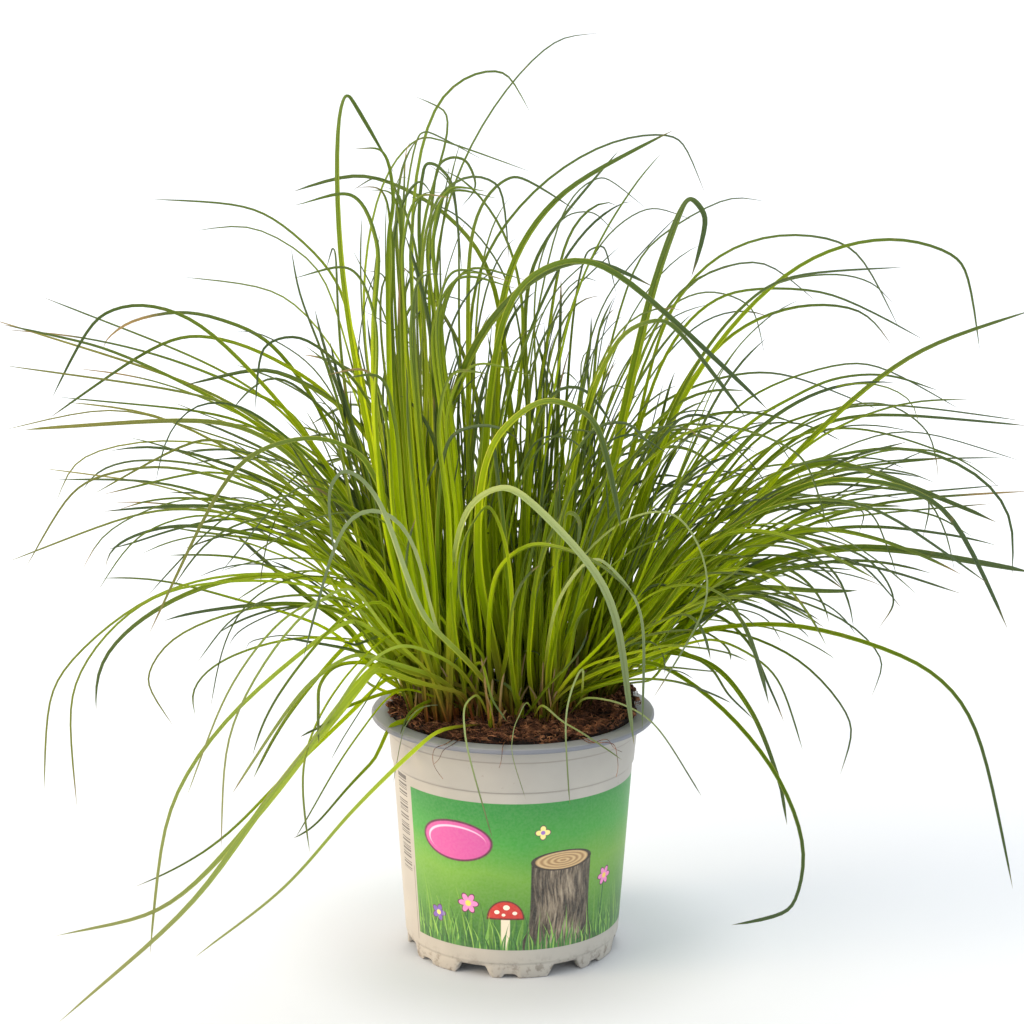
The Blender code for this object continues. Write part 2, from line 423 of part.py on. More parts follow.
def settle_depths(routes, parts=6):
    """Slides leaves that cross in the front view apart along the line of sight."""
    section, part, place, half, leaf = [], [], [], [], []
    offsets = np.cumsum([0] + [len(route["sections"]) for route in routes])
    for number, route in enumerate(routes):
        rows = route["sections"]
        shares = share_along(to_space(rows))
        for k in range(len(rows) - 1):
            for step in range(parts):
                share = step / parts
                leaf.append(number)
                section.append(offsets[number] + k)
                part.append(share)
                place.append(rows[k, :2] * (1 - share) + rows[k + 1, :2] * share)
                along = shares[k] * (1 - share) + shares[k + 1] * share
                half.append(0.5 * route["width"] * width_at(along))
    leaf, section, part = np.array(leaf), np.array(section), np.array(part)
    place, half = np.array(place), np.array(half)
    per_metre = EYE_FOCUS / -EYE[1]
    apart = np.linalg.norm(place[:, None] - place[None], axis=2) / per_metre
    needed = half[:, None] + half[None] + CLEARANCE
    first, second = np.nonzero((apart < needed) & (leaf[:, None] < leaf[None]))
    room = np.sqrt(needed[first, second] ** 2 - apart[first, second] ** 2)
    depth = np.concatenate([route["sections"][:, 2] for route in routes])
    held = np.zeros(len(depth), bool)
    for number, route in enumerate(routes):
        held[offsets[number] : offsets[number] + 2] = True
    for _ in range(DEPTH_ROUNDS):
        here = depth[section] * (1 - part) + depth[section + 1] * part
        gap = here[first] - here[second]
        side = np.where(gap >= 0, 1.0, -1.0)
        push = 0.5 * np.clip(room - np.abs(gap), 0, None) * side
        total = np.zeros(len(depth))
        weight = np.full(len(depth), 1e-9)
        moved = push != 0
        for rows, way in ((first[moved], 1.0), (second[moved], -1.0)):
            for ends, share in ((section[rows], 1 - part[rows]), (section[rows] + 1, part[rows])):
                np.add.at(total, ends, way * push[moved] * share)
                np.add.at(weight, ends, share)
        depth = depth + np.where(held, 0.0, 1.3 * total / weight)
    for number, route in enumerate(routes):
        route["sections"][:, 2] = depth[offsets[number] : offsets[number + 1]]
        route["places"] = to_space(route["sections"])


def closest_shares(a, b, c, d):
    """Shares along the segments a-b and c-d at which each pair comes closest."""
    ab, cd, ca = b - a, d - c, a - c
    size = np.sum(ab * ab, axis=1)
    other = np.sum(cd * cd, axis=1)
    mixed = np.sum(ab * cd, axis=1)
    first = np.sum(ab * ca, axis=1)
    second = np.sum(cd * ca, axis=1)
    span = np.maximum(size * other - mixed**2, 1e-18)
    s = np.clip((mixed * second - first * other) / span, 0, 1)
    t = np.clip((mixed * s + second) / other, 0, 1)
    s = np.clip((mixed * t - first) / size, 0, 1)
    return s[:, None], t[:, None]


def settle_in_space(routes):
    """Moves leaves that still come too near each other, or a crown, apart by the shortest way."""
    starts = np.cumsum([0] + [len(route["places"]) for route in routes])
    points = np.vstack([route["places"] for route in routes])
    halves = [0.5 * route["width"] * width_at(share_along(route["places"])) for route in routes]
    half = np.concatenate(halves)
    free = np.ones((len(points), 3))
    segments, owner, low = [], [], []
    for number, route in enumerate(routes):
        first = starts[number]
        in_tuft = route["name"] in CROWNS
        free[first] = (0.0, 0.0, 0.0) if in_tuft else (1.0, 1.0, 0.0)
        if in_tuft:
            free[first + 1] = 0.0
        for k in range(len(route["places"]) - 1):
            segments.append((first + k, first + k + 1))
            owner.append(number)
            low.append(list(CROWNS).index(route["name"]) if in_tuft and k < 1 else -1 - number)
    for number, (name, (x, y)) in enumerate(CROWNS.items()):
        foot = crown_foot(name)
        points = np.vstack([points, (x, y, foot), (x, y, foot + CROWN_HEIGHT)])
        half = np.concatenate([half, [CROWN_RADIUS, CROWN_RADIUS]])
        free = np.vstack([free, np.zeros((2, 3))])
        segments.append((len(points) - 2, len(points) - 1))
        owner.append(-1 - number)
        low.append(number)
    segments, owner, low = np.array(segments), np.array(owner), np.array(low)
    one, two = np.triu_indices(len(segments), 1)
    apart = (owner[one] != owner[two]) & (low[one] != low[two])
    one, two = one[apart], two[apart]
    for turn in range(SPACE_ROUNDS):
        ends = points[segments]
        if turn % 10 == 0:
            lows, highs = ends.min(axis=1) - REACH, ends.max(axis=1) + REACH
            near = np.all((lows[one] < highs[two]) & (lows[two] < highs[one]), axis=1)
            a, b = one[near], two[near]
        s, t = closest_shares(ends[a, 0], ends[a, 1], ends[b, 0], ends[b, 1])
        here = ends[a, 0] * (1 - s) + ends[a, 1] * s
        there = ends[b, 0] * (1 - t) + ends[b, 1] * t
        size = half[segments]
        needed = (size[a, 0:1] * (1 - s) + size[a, 1:2] * s) + (size[b, 0:1] * (1 - t) + size[b, 1:2] * t)
        way = here - there
        gap = np.linalg.norm(way, axis=1)[:, None]
        short = np.clip(needed + CLEARANCE - gap, 0, None)
        if not short.any():
            break
        push = 0.5 * short * way / np.maximum(gap, 1e-6)
        total = np.zeros_like(points)
        weight = np.full((len(points), 1), 1e-9)
        touched = short[:, 0] > 0
        for rows, share, sign in ((a, s, 1.0), (b, t, -1.0)):
            for end, lean in ((0, 1 - share), (1, share)):
                index = segments[rows[touched], end]
                np.add.at(total, index, sign * push[touched] * lean[touched])
                np.add.at(weight, index, lean[touched])
        points = points + free * total / weight
    for number, route in enumerate(routes):
        route["places"] = points[starts[number] : starts[number + 1]]


def leaf_frames(places, turn):
    """Width directions and upper-face directions of a leaf's sections."""
    steps = np.diff(places, axis=0)
    ways = steps / np.linalg.norm(steps, axis=1)[:, None]
    along = np.vstack([ways[0], ways[1:] + ways[:-1], ways[-1]])
    along /= np.linalg.norm(along, axis=1)[:, None]
    bends = np.zeros(len(places))
    bends[1:-1] = np.arccos(np.clip(np.sum(ways[1:] * ways[:-1], axis=1), -1, 1))
    for _ in range(2):
        padded = np.concatenate([bends[:1], bends, bends[-1:]])
        bends = 0.25 * padded[:-2] + 0.5 * padded[1:-1] + 0.25 * padded[2:]
    look = places - np.array(EYE)
    look /= np.linalg.norm(look, axis=1)[:, None]
    across = np.empty_like(places)
    for k, way in enumerate(along):
        flat = np.cross(way, look[k])
        flat /= np.linalg.norm(flat)
        deep = np.cross(flat, way)
        angle = math.radians(turn)
        angle += (EDGE_ON - angle) * min(1.0, bends[k] / SHARP_BEND)
        across[k] = math.cos(angle) * flat + math.sin(angle) * deep
        if k and np.dot(across[k], across[k - 1]) < 0:
            across[k] = -across[k]
    upper = np.cross(along, across)
    if np.sum((ways[1:] - ways[:-1]) * upper[1:-1]) > 0:
        across, upper = -across, -upper
    return across, upper


def leaf_rings(route):
    """Four corners of every section of a leaf but its tip: edge, groove, edge and keel."""
    places = route["places"]
    across, upper = leaf_frames(places, route["turn"])
    shares = share_along(places)
    rings = []
    for place, side, face, share in zip(places[:-1], across, upper, shares):
        half = 0.5 * route["width"] * float(width_at(share))
        thick = 0.5 * (LEAF_THICKNESS + (TIP_THICKNESS - LEAF_THICKNESS) * share)
        lift = face * 2 * FOLD * half
        rings.append(
            [place + side * half + lift, place + face * thick, place - side * half + lift, place - face * thick]
        )
    return np.array(rings), places[-1]


def grow_blade(bm, face, rings, tip):
    """Extrudes a face through the rings of a leaf and closes it at the tip.

    The side faces are split from an edge of the leaf to its groove or keel, the same way on
    the upper and the lower side, so that the two sides keep their distance where it twists.
    """
    for ring in rings:
        old = list(face.verts)
        face = bmesh.ops.extrude_discrete_faces(bm, faces=[face])["faces"][0]
        new = list(face.verts)
        spread = []
        for shift in range(4):
            total = sum((old[k].co - Vector(ring[(k + shift) % 4])).length for k in range(4))
            spread.append((total, shift))
        shift = min(spread)[1]
        for k, vert in enumerate(new):
            vert.co = ring[(k + shift) % 4]
        for k in range(4):
            if (k + shift) % 2 == 0:
                for other in ((k + 1) % 4, (k - 1) % 4):
                    side = set(old[k].link_faces) & set(new[other].link_faces)
                    bmesh.utils.face_split(side.pop(), old[k], new[other])
    bmesh.ops.pointmerge(bm, verts=list(face.verts), merge_co=Vector(tip))


def new_object(name, mesh_source, collection, material):
    """An object with its own mesh, from a bmesh, in the part's collection."""
    mesh = bpy.data.meshes.new(name)
    mesh_source.to_mesh(mesh)
    mesh_source.free()
    mesh.materials.append(material)
    thing = bpy.data.objects.new(name, mesh)
    collection.objects.link(thing)
    return thing


def principled(name, colour, roughness):
    """A plain material with one colour and roughness."""
    material = bpy.data.materials.new(name)
    material.use_nodes = True
    shader = material.node_tree.nodes["Principled BSDF"]
    shader.inputs["Base Color"].default_value = (*colour, 1.0)
    shader.inputs["Roughness"].default_value = roughness
    shader.inputs["Metallic"].default_value = 0.0
    return material


def pot_profile():
    """Radius and height down the pot: inside, over the rim, down the wall, under the foot."""
    inner_collar = COLLAR_RADIUS - WALL
    inner_foot = FOOT_RADIUS - WALL
    floor_top = FLOOR_UNDERSIDE + FLOOR_THICKNESS
    rim_low = POT_HEIGHT - RIM_THICKNESS
    round_off = RIDGE_DEPTH
    ring_in = FOOT_RADIUS - FOOT_RING
    return [
        (0.0, floor_top),
        (inner_foot, floor_top),
        (SHOULDER_RADIUS - WALL, SHOULDER_HEIGHT),
        (inner_collar, COLLAR_FOOT),
        (inner_collar, POT_HEIGHT - round_off),
        (inner_collar + round_off, POT_HEIGHT),
        (RIM_RADIUS - round_off, POT_HEIGHT),
        (RIM_RADIUS, POT_HEIGHT - round_off),
        (RIM_RADIUS, rim_low + round_off),
        (RIM_RADIUS - round_off, rim_low),
        (COLLAR_RADIUS, rim_low),
        (COLLAR_RADIUS, COLLAR_FOOT + RIDGE_DEPTH),
        (COLLAR_RADIUS - RIDGE_DEPTH, COLLAR_FOOT),
        (SHOULDER_RADIUS, SHOULDER_HEIGHT + RIDGE_DEPTH),
        (SHOULDER_RADIUS - RIDGE_DEPTH, SHOULDER_HEIGHT),
        (FOOT_RADIUS + 2 * RIDGE_DEPTH, FOOT_HEIGHT + RIDGE_DEPTH),
        (FOOT_RADIUS + RIDGE_DEPTH, FOOT_HEIGHT),
        (FOOT_RADIUS, round_off),
        (FOOT_RADIUS - round_off, 0.0),
        (ring_in + round_off, 0.0),
        (ring_in, round_off),
        (ring_in, FLOOR_UNDERSIDE),
        (0.0, FLOOR_UNDERSIDE),
    ]


def add_screw(thing):
    """Turns a profile at +X once round the Z axis."""
    screw = thing.modifiers.new("Turned", "SCREW")
    screw.steps = POT_STEPS
    screw.render_steps = POT_STEPS
    screw.use_merge_vertices = True
    screw.merge_threshold = 0.00001
    screw.use_smooth_shade = True


def cutter_object(name, mesh_source, cutters):
    """A cutter that is drawn as wire and left out of a render."""
    thing = new_object(name, mesh_source, cutters, principled(name, (0.8, 0.2, 0.2), 0.5))
    thing.hide_render = True
    thing.display_type = "WIRE"
    return thing


def notch_cutters(cutters):
    """Wedges, narrower at the top, that part the foot ring into feet, joined in one cutter."""
    bm = bmesh.new()
    for number in range(NOTCHES):
        made = bmesh.ops.create_cube(bm, size=1.0)["verts"]
        angle = FIRST_NOTCH + 2 * math.pi * number / NOTCHES
        for vert in made:
            across = vert.co.x * (NOTCH_WIDTH + (NOTCH_SPLAY if vert.co.z < 0 else -NOTCH_SPLAY))
            out = FOOT_RADIUS - 0.5 * FOOT_RING + vert.co.y * 3 * FOOT_RING
            height = NOTCH_HEIGHT * (0.5 + vert.co.z) - (NOTCH_HEIGHT if vert.co.z < 0 else 0.0)
            vert.co = (
                out * math.cos(angle) - across * math.sin(angle),
                out * math.sin(angle) + across * math.cos(angle),
                height,
            )
    bmesh.ops.recalc_face_normals(bm, faces=bm.faces)
    return cutter_object("notch_cutter", bm, cutters)


def drain_cutters(cutters):
    """Cylinders that pierce the bottom behind each notch, joined in one cutter."""
    bm = bmesh.new()
    middle = FLOOR_UNDERSIDE + 0.5 * FLOOR_THICKNESS
    for number in range(NOTCHES):
        angle = FIRST_NOTCH + 2 * math.pi * number / NOTCHES
        made = bmesh.ops.create_cone(
            bm,
            cap_ends=True,
            segments=DRAIN_SIDES,
            radius1=DRAIN_RADIUS,
            radius2=DRAIN_RADIUS,
            depth=3 * FLOOR_THICKNESS,
        )["verts"]
        place = Vector((DRAIN_CIRCLE * math.cos(angle), DRAIN_CIRCLE * math.sin(angle), middle))
        bmesh.ops.translate(bm, verts=made, vec=place)
    return cutter_object("drain_cutter", bm, cutters)


def build_pot(parts, cutters):
    """The moulded pot: a turned cup with a flange, ridge lines, a notched foot and drain holes."""
    bm = bmesh.new()
    verts = [bm.verts.new((radius, 0.0, height)) for radius, height in pot_profile()]
    for start, end in zip(verts, verts[1:]):
        bm.edges.new((start, end))
    pot = new_object("pot", bm, parts, principled("pot_plastic", (0.55, 0.53, 0.50), 0.55))
    add_screw(pot)
    for name, cutter in (("Notches", notch_cutters(cutters)), ("Drains", drain_cutters(cutters))):
        cut = pot.modifiers.new(name, "BOOLEAN")
        cut.object = cutter
        cut.operation = "DIFFERENCE"
        cut.solver = "EXACT"


def build_soil(parts):
    """The plug of compost: turned from rings, with its top raised to the soil's height."""
    floor = FLOOR_UNDERSIDE + FLOOR_THICKNESS + GAP
    foot = FOOT_RADIUS - WALL - 3 * GAP
    shoulder = SHOULDER_RADIUS - WALL - 3 * GAP
    top = COLLAR_RADIUS - WALL - 3 * GAP
    profile = [(0.0, floor), (foot, floor), (shoulder, SHOULDER_HEIGHT)]
    profile += [(top * (SOIL_RINGS - ring) / SOIL_RINGS, SOIL_LEVEL) for ring in range(SOIL_RINGS + 1)]
    bm = bmesh.new()
    verts = [bm.verts.new((radius, 0.0, height)) for radius, height in profile]
    edges = [bm.edges.new(pair) for pair in zip(verts, verts[1:])]
    bmesh.ops.spin(
        bm, geom=verts + edges, axis=(0, 0, 1), cent=(0, 0, 0), angle=2 * math.pi, steps=SOIL_STEPS
    )
    bmesh.ops.remove_doubles(bm, verts=bm.verts, dist=0.00001)
    for vert in bm.verts:
        if vert.co.z > SOIL_LEVEL - GAP:
            vert.co.z = soil_height(vert.co.x, vert.co.y)
    bmesh.ops.recalc_face_normals(bm, faces=bm.faces)
    new_object("soil", bm, parts, principled("soil", (0.09, 0.045, 0.028), 0.95))


def build_tuft(name, blades, parts):
    """A crown, which is a short cone, with one blade drawn out of each of its side faces."""
    count = len(blades)
    x, y = CROWNS[name]
    foot = crown_foot(name)
    bm = bmesh.new()
    bmesh.ops.create_cone(
        bm,
        cap_ends=True,
        segments=count,
        radius1=CROWN_RADIUS,
        radius2=0.85 * CROWN_RADIUS,
        depth=CROWN_HEIGHT,
    )
    bmesh.ops.translate(bm, verts=bm.verts, vec=(x, y, foot + 0.5 * CROWN_HEIGHT))
    bm.normal_update()
    sides = [face for face in bm.faces if abs(face.normal.z) < 0.5]
    angles = crown_sides(name)
    for blade in blades:
        angle = angles[blade["side"]]
        out = Vector((math.cos(angle), math.sin(angle), 0.0))
        face = max(sides, key=lambda side: side.normal.dot(out))
        sides.remove(face)
        rings, tip = leaf_rings(blade)
        grow_blade(bm, face, rings[1:], tip)
    bmesh.ops.recalc_face_normals(bm, faces=bm.faces)
    new_object(name, bm, parts, principled(name, LEAF_COLOURS["tuft"], 0.55))


def build_leaf(route, parts):
    """One leaf: a four-sided sheath on the soil, drawn out through its sections to the tip."""
    rings, tip = leaf_rings(route)
    bm = bmesh.new()
    made = bmesh.ops.create_cone(bm, cap_ends=True, segments=4, radius1=0.001, radius2=0.001, depth=0.002)
    low = sorted((vert for vert in made["verts"] if vert.co.z < 0), key=lambda v: math.atan2(v.co.y, v.co.x))
    high = sorted((vert for vert in made["verts"] if vert.co.z > 0), key=lambda v: math.atan2(v.co.y, v.co.x))
    rest = route["places"][0][2]
    for k in range(4):
        low[k].co = (rings[0][k][0], rings[0][k][1], rest)
        high[k].co = rings[1][k]
    face = next(face for face in bm.faces if all(vert in high for vert in face.verts))
    grow_blade(bm, face, rings[2:], tip)
    bmesh.ops.recalc_face_normals(bm, faces=bm.faces)
    colour = LEAF_COLOURS[route["name"].rsplit("_", 1)[0]]
    new_object(route["name"], bm, parts, principled(route["name"], colour, 0.55))


def all_routes():
    """Every leaf's sections, settled clear of each other."""
    routes = tuft_routes() + single_routes()
    settle_depths(routes)
    settle_in_space(routes)
    return routes


def main():
    for thing in list(bpy.data.objects):
        bpy.data.objects.remove(thing)
    parts = bpy.data.collections.new("potted_umbrella_sedge")
    cutters = bpy.data.collections.new("cutters")
    bpy.context.scene.collection.children.link(parts)
    bpy.context.scene.collection.children.link(cutters)
    build_pot(parts, cutters)
    build_soil(parts)
    routes = all_routes()
    for name in TUFT_BLADES:
        build_tuft(name, [route for route in routes if route["name"] == name], parts)
    for route in routes:
        if route["name"] in LEAVES:
            build_leaf(route, parts)


main()
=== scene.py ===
# Potted umbrella sedge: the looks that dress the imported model.
# The leaves follow the CAD leaves' routes. Finer leaves, sheaths, coir, crumbs and roots are added here.

import math

import bpy
import numpy as np
from mathutils import Matrix, Vector


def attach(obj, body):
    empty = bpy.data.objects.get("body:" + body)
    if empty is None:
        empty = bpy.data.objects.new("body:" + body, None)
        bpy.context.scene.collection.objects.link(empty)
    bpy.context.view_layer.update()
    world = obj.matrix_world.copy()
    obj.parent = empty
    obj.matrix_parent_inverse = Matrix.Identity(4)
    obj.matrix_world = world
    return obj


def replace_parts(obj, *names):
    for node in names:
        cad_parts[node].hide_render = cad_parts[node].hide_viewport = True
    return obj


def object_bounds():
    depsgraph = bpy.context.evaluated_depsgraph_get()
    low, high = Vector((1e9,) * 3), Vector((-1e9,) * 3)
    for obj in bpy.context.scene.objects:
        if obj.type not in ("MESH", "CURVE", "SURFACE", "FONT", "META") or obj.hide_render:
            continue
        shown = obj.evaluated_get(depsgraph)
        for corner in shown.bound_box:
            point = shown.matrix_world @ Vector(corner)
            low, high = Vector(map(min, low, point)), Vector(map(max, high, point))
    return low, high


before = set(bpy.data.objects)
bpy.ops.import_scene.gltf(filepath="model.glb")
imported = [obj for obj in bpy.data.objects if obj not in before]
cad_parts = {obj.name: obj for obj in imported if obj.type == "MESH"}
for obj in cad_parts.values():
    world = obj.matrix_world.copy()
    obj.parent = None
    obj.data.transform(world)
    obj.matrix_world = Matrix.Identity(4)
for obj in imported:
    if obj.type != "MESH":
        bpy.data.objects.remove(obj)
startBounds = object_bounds()
rng = np.random.default_rng(41)

# The photograph's viewpoint, which the drawn routes below are seen from
eye = {
    "place": (0.0, -0.982, 0.391),
    "tilt": math.radians(11.65),
    "roll": math.radians(0.25),
    "focus": 2400.0,  # in picture points
    "centre": (513.8, 512.0),
    "picture": 1024,
    "sensor": 36.0,
}

pot = {
    "height": 0.1035,
    "rim": 0.0600,
    "rimThick": 0.0021,
    "collar": 0.0533,
    "collarFoot": 0.0956,
    "shoulder": 0.0825,
    "shoulderRadius": 0.0516,
    "foot": 0.0450,
    "footHeight": 0.0064,
    "wall": 0.0013,
    "floor": 0.0052,
    "notches": 7,
    "firstNotch": math.radians(-60.0),
    "stepTurn": math.radians(20.5),  # from a notch to the shallow step after it
    "steps": 280,
    "longest": 0.006,  # longer stretches of the profile are divided
    "soilLevel": 0.1012,
}
potInside = pot["collar"] - pot["wall"]


def tint(red, green, blue):  # a colour read off a screen, 0 to 255, as linear light
    shares = (value / 255 for value in (red, green, blue))
    return (*(s / 12.92 if s <= 0.04045 else ((s + 0.055) / 1.055) ** 2.4 for s in shares), 1.0)


# A small language for materials
def operator(operation, turned=False):  # a method that adds a Math node; turned swaps its two values
    def method(self, other):
        values = (other, self) if turned else (self, other)
        return self.sheet.node("ShaderNodeMath", {"operation": operation}, dict(enumerate(values)))

    return method


class Wire:  # one socket of a material; sums on it add Math nodes
    def __init__(self, sheet, socket):
        self.sheet = sheet
        self.socket = socket

    __add__ = __radd__ = operator("ADD")
    __mul__ = __rmul__ = operator("MULTIPLY")
    __sub__, __rsub__ = operator("SUBTRACT"), operator("SUBTRACT", True)
    __truediv__, __rtruediv__ = operator("DIVIDE"), operator("DIVIDE", True)
    __pow__ = operator("POWER")
    least, most, angleOver = operator("MINIMUM"), operator("MAXIMUM"), operator("ARCTAN2")

    def math(self, operation):
        return self.sheet.node("ShaderNodeMath", {"operation": operation}, {0: self})

    def __abs__(self):
        return self.math("ABSOLUTE")

    def step(self, low, high):  # 0 below low, 1 above high, smooth between; low may be above high
        values = {"Value": self, "From Min": low, "From Max": high, "To Min": 0.0, "To Max": 1.0}
        return self.sheet.node("ShaderNodeMapRange", {"interpolation_type": "SMOOTHSTEP"}, values)


class Sheet:  # one material being written
    def __init__(self, name):
        self.material = bpy.data.materials.new(name)
        self.material.use_nodes = True
        self.tree = self.material.node_tree
        self.tree.nodes.clear()

    def node(self, kind, settings=None, values=None, output=0):
        made = self.tree.nodes.new(kind)
        for key, value in (settings or {}).items():
            if key == "stops":
                ramp = made.color_ramp
                while len(ramp.elements) > 1:
                    ramp.elements.remove(ramp.elements[-1])
                ramp.elements[0].position, ramp.elements[0].color = value[0]
                for place, colour in value[1:]:
                    ramp.elements.new(place).color = colour
            else:
                setattr(made, key, value)
        for key, value in (values or {}).items():
            if isinstance(value, Wire):
                self.tree.links.new(value.socket, made.inputs[key])
            else:
                made.inputs[key].default_value = value
        return Wire(self, made.outputs[output] if made.outputs else None)

    def ramp(self, value, stops):  # stops are (place, colour), low to high
        return self.node("ShaderNodeValToRGB", {"stops": stops}, {"Fac": value})

    def blend(self, share, first, second, way="MIX"):  # the first colour at share 0, the second at 1
        settings = {"data_type": "RGBA", "blend_type": way}
        return self.node("ShaderNodeMix", settings, {0: share, 6: first, 7: second}, output=2)

    def layers(self, colour, *coats):  # lays coats of (mask, ink) over a colour, one after the other
        for mask, ink in coats:
            colour = self.blend(mask, colour, ink)
        return colour

    def place(self):  # object coordinates, and their three parts
        where = self.node("ShaderNodeTexCoord", output="Object")
        return where, *self.parts(where)

    def parts(self, vector):  # the three parts of a vector or colour, as wires
        outs = self.node("ShaderNodeSeparateXYZ", None, {0: vector}).socket.node.outputs
        return Wire(self, outs[0]), Wire(self, outs[1]), Wire(self, outs[2])

    def vector(self, x, y, z):
        return self.node("ShaderNodeCombineXYZ", None, {0: x, 1: y, 2: z})

    def stretched(self, where, x, y, z):
        return self.node("ShaderNodeVectorMath", {"operation": "MULTIPLY"}, {0: where, 1: (x, y, z)})

    def attribute(self, name):
        return self.node("ShaderNodeAttribute", {"attribute_name": name}, output="Fac")

    def noise(self, where, scale, detail=3.0, rough=0.5):
        values = {"Vector": where, "Scale": scale, "Detail": detail, "Roughness": rough}
        return self.node("ShaderNodeTexNoise", None, values)

    def bump(self, height, depth, strength=1.0):
        return self.node("ShaderNodeBump", None, {"Height": height, "Distance": depth, "Strength": strength})

    def finish(self, colour, rough, normal=None, through=None, shine=0.5):
        values = {"Base Color": colour, "Roughness": rough, "Specular IOR Level": shine}
        if normal is not None:
            values["Normal"] = normal
        surface = self.node("ShaderNodeBsdfPrincipled", None, values)
        if through is not None:  # a thin leaf lets some light through
            share, glow = through
            behind = self.node("ShaderNodeBsdfTranslucent", None, {"Color": glow})
            surface = self.node("ShaderNodeMixShader", None, {0: share, 1: surface, 2: behind})
        self.node("ShaderNodeOutputMaterial", None, {"Surface": surface})
        return self.material


# Making pieces
def makePiece(name, places, faces, material, smooth=True):  # a mesh piece from its places and faces
    mesh = bpy.data.meshes.new(name)
    mesh.from_pydata(np.reshape(places, (-1, 3)), [], faces)
    if smooth:
        mesh.polygons.foreach_set("use_smooth", np.ones(len(mesh.polygons), bool))
    mesh.materials.append(material)
    mesh.update()
    piece = bpy.data.objects.new(name, mesh)
    bpy.context.scene.collection.objects.link(piece)
    return piece


inTurn, turnedOver = (0, 1, 2, 3), (0, 3, 2, 1)  # the two ways round a face


def ringFaces(count, each, rows, ring, order):
    # Faces between the rings of some strands that each have so many places. The corners of a face are place k
    # and place k + 1 of one ring, then place k + 1 and place k of the next ring, in the order asked for.
    start = (np.arange(count) * each)[:, None, None]
    row = (np.arange(rows - 1) * ring)[None, :, None]
    k = np.arange(ring)[None, None]
    after = (k + 1) % ring
    corners = (start + row + k, start + row + after, start + row + ring + after, start + row + ring + k)
    return np.stack([corners[c] for c in order], axis=-1).reshape(-1, 4).tolist()


def closedGrid(name, grid, material):
    # A surface from a grid of places, rows down and steps round, joined at its seam. A place in the middle of
    # the first row and of the last row closes each end.
    rows, steps = grid.shape[:2]
    middle, base = rows * steps, (rows - 1) * steps
    faces = ringFaces(1, 0, rows, steps, inTurn)
    faces += [[middle, (k + 1) % steps, k] for k in range(steps)]
    faces += [[middle + 1, base + k, base + (k + 1) % steps] for k in range(steps)]
    places = np.vstack([grid.reshape(-1, 3), grid[0].mean(axis=0), grid[-1].mean(axis=0)])
    return makePiece(name, places, faces, material)


# Leaves: their materials
leafLook = {
    "sheath": tint(124, 66, 34),  # red-brown sheath at the soil
    "neck": tint(164, 150, 50),
    "young": tint(204, 222, 6),
    "green": tint(144, 168, 4),
    "shadow": tint(56, 74, 4),  # painted shade of the dark leaves just above the soil
    "deep": tint(98, 128, 2),
    "tip": tint(70, 88, 60),
    "sunlitLeftEnds": tint(136, 134, 72),  # painted light: the sunlit ends of the leaves on the left
    "sunlitLowEnds": tint(170, 166, 108),  # painted light: the sunlit ends of the lowest leaves
    "dry": tint(150, 128, 86),
    # a light rib, and a painted highlight along the edges
    "rib": tint(222, 222, 84),
    "greyed": tint(168, 182, 134),
    "shade": (0.42, 0.48, 0.36, 1.0),  # painted shade: what the shaded half of a leaf, and its fine veins, are multiplied by
    "brightStops": ((0.03, "sheath"), (0.08, "neck"), (0.22, "young"), (0.6, "green"), (0.92, "tip")),
    # the dark ramp has painted shade just above the soil
    "darkStops": ((0.02, "sheath"), (0.07, "shadow"), (0.26, "deep"), (0.7, "deep"), (0.95, "tip")),
    "glow": (0.80, 0.92, 0.015, 1.0),
    "through": (0.66, 0.19),  # at the base and towards the tip
    "dimmed": 0.867,  # of all the light that comes through
    "veins": 3.5,
    "dryEnds": ([0.0, 0.02, 0.05, 0.12], [0.58, 0.27, 0.11, 0.04]),  # shares of the length, and their chances
}


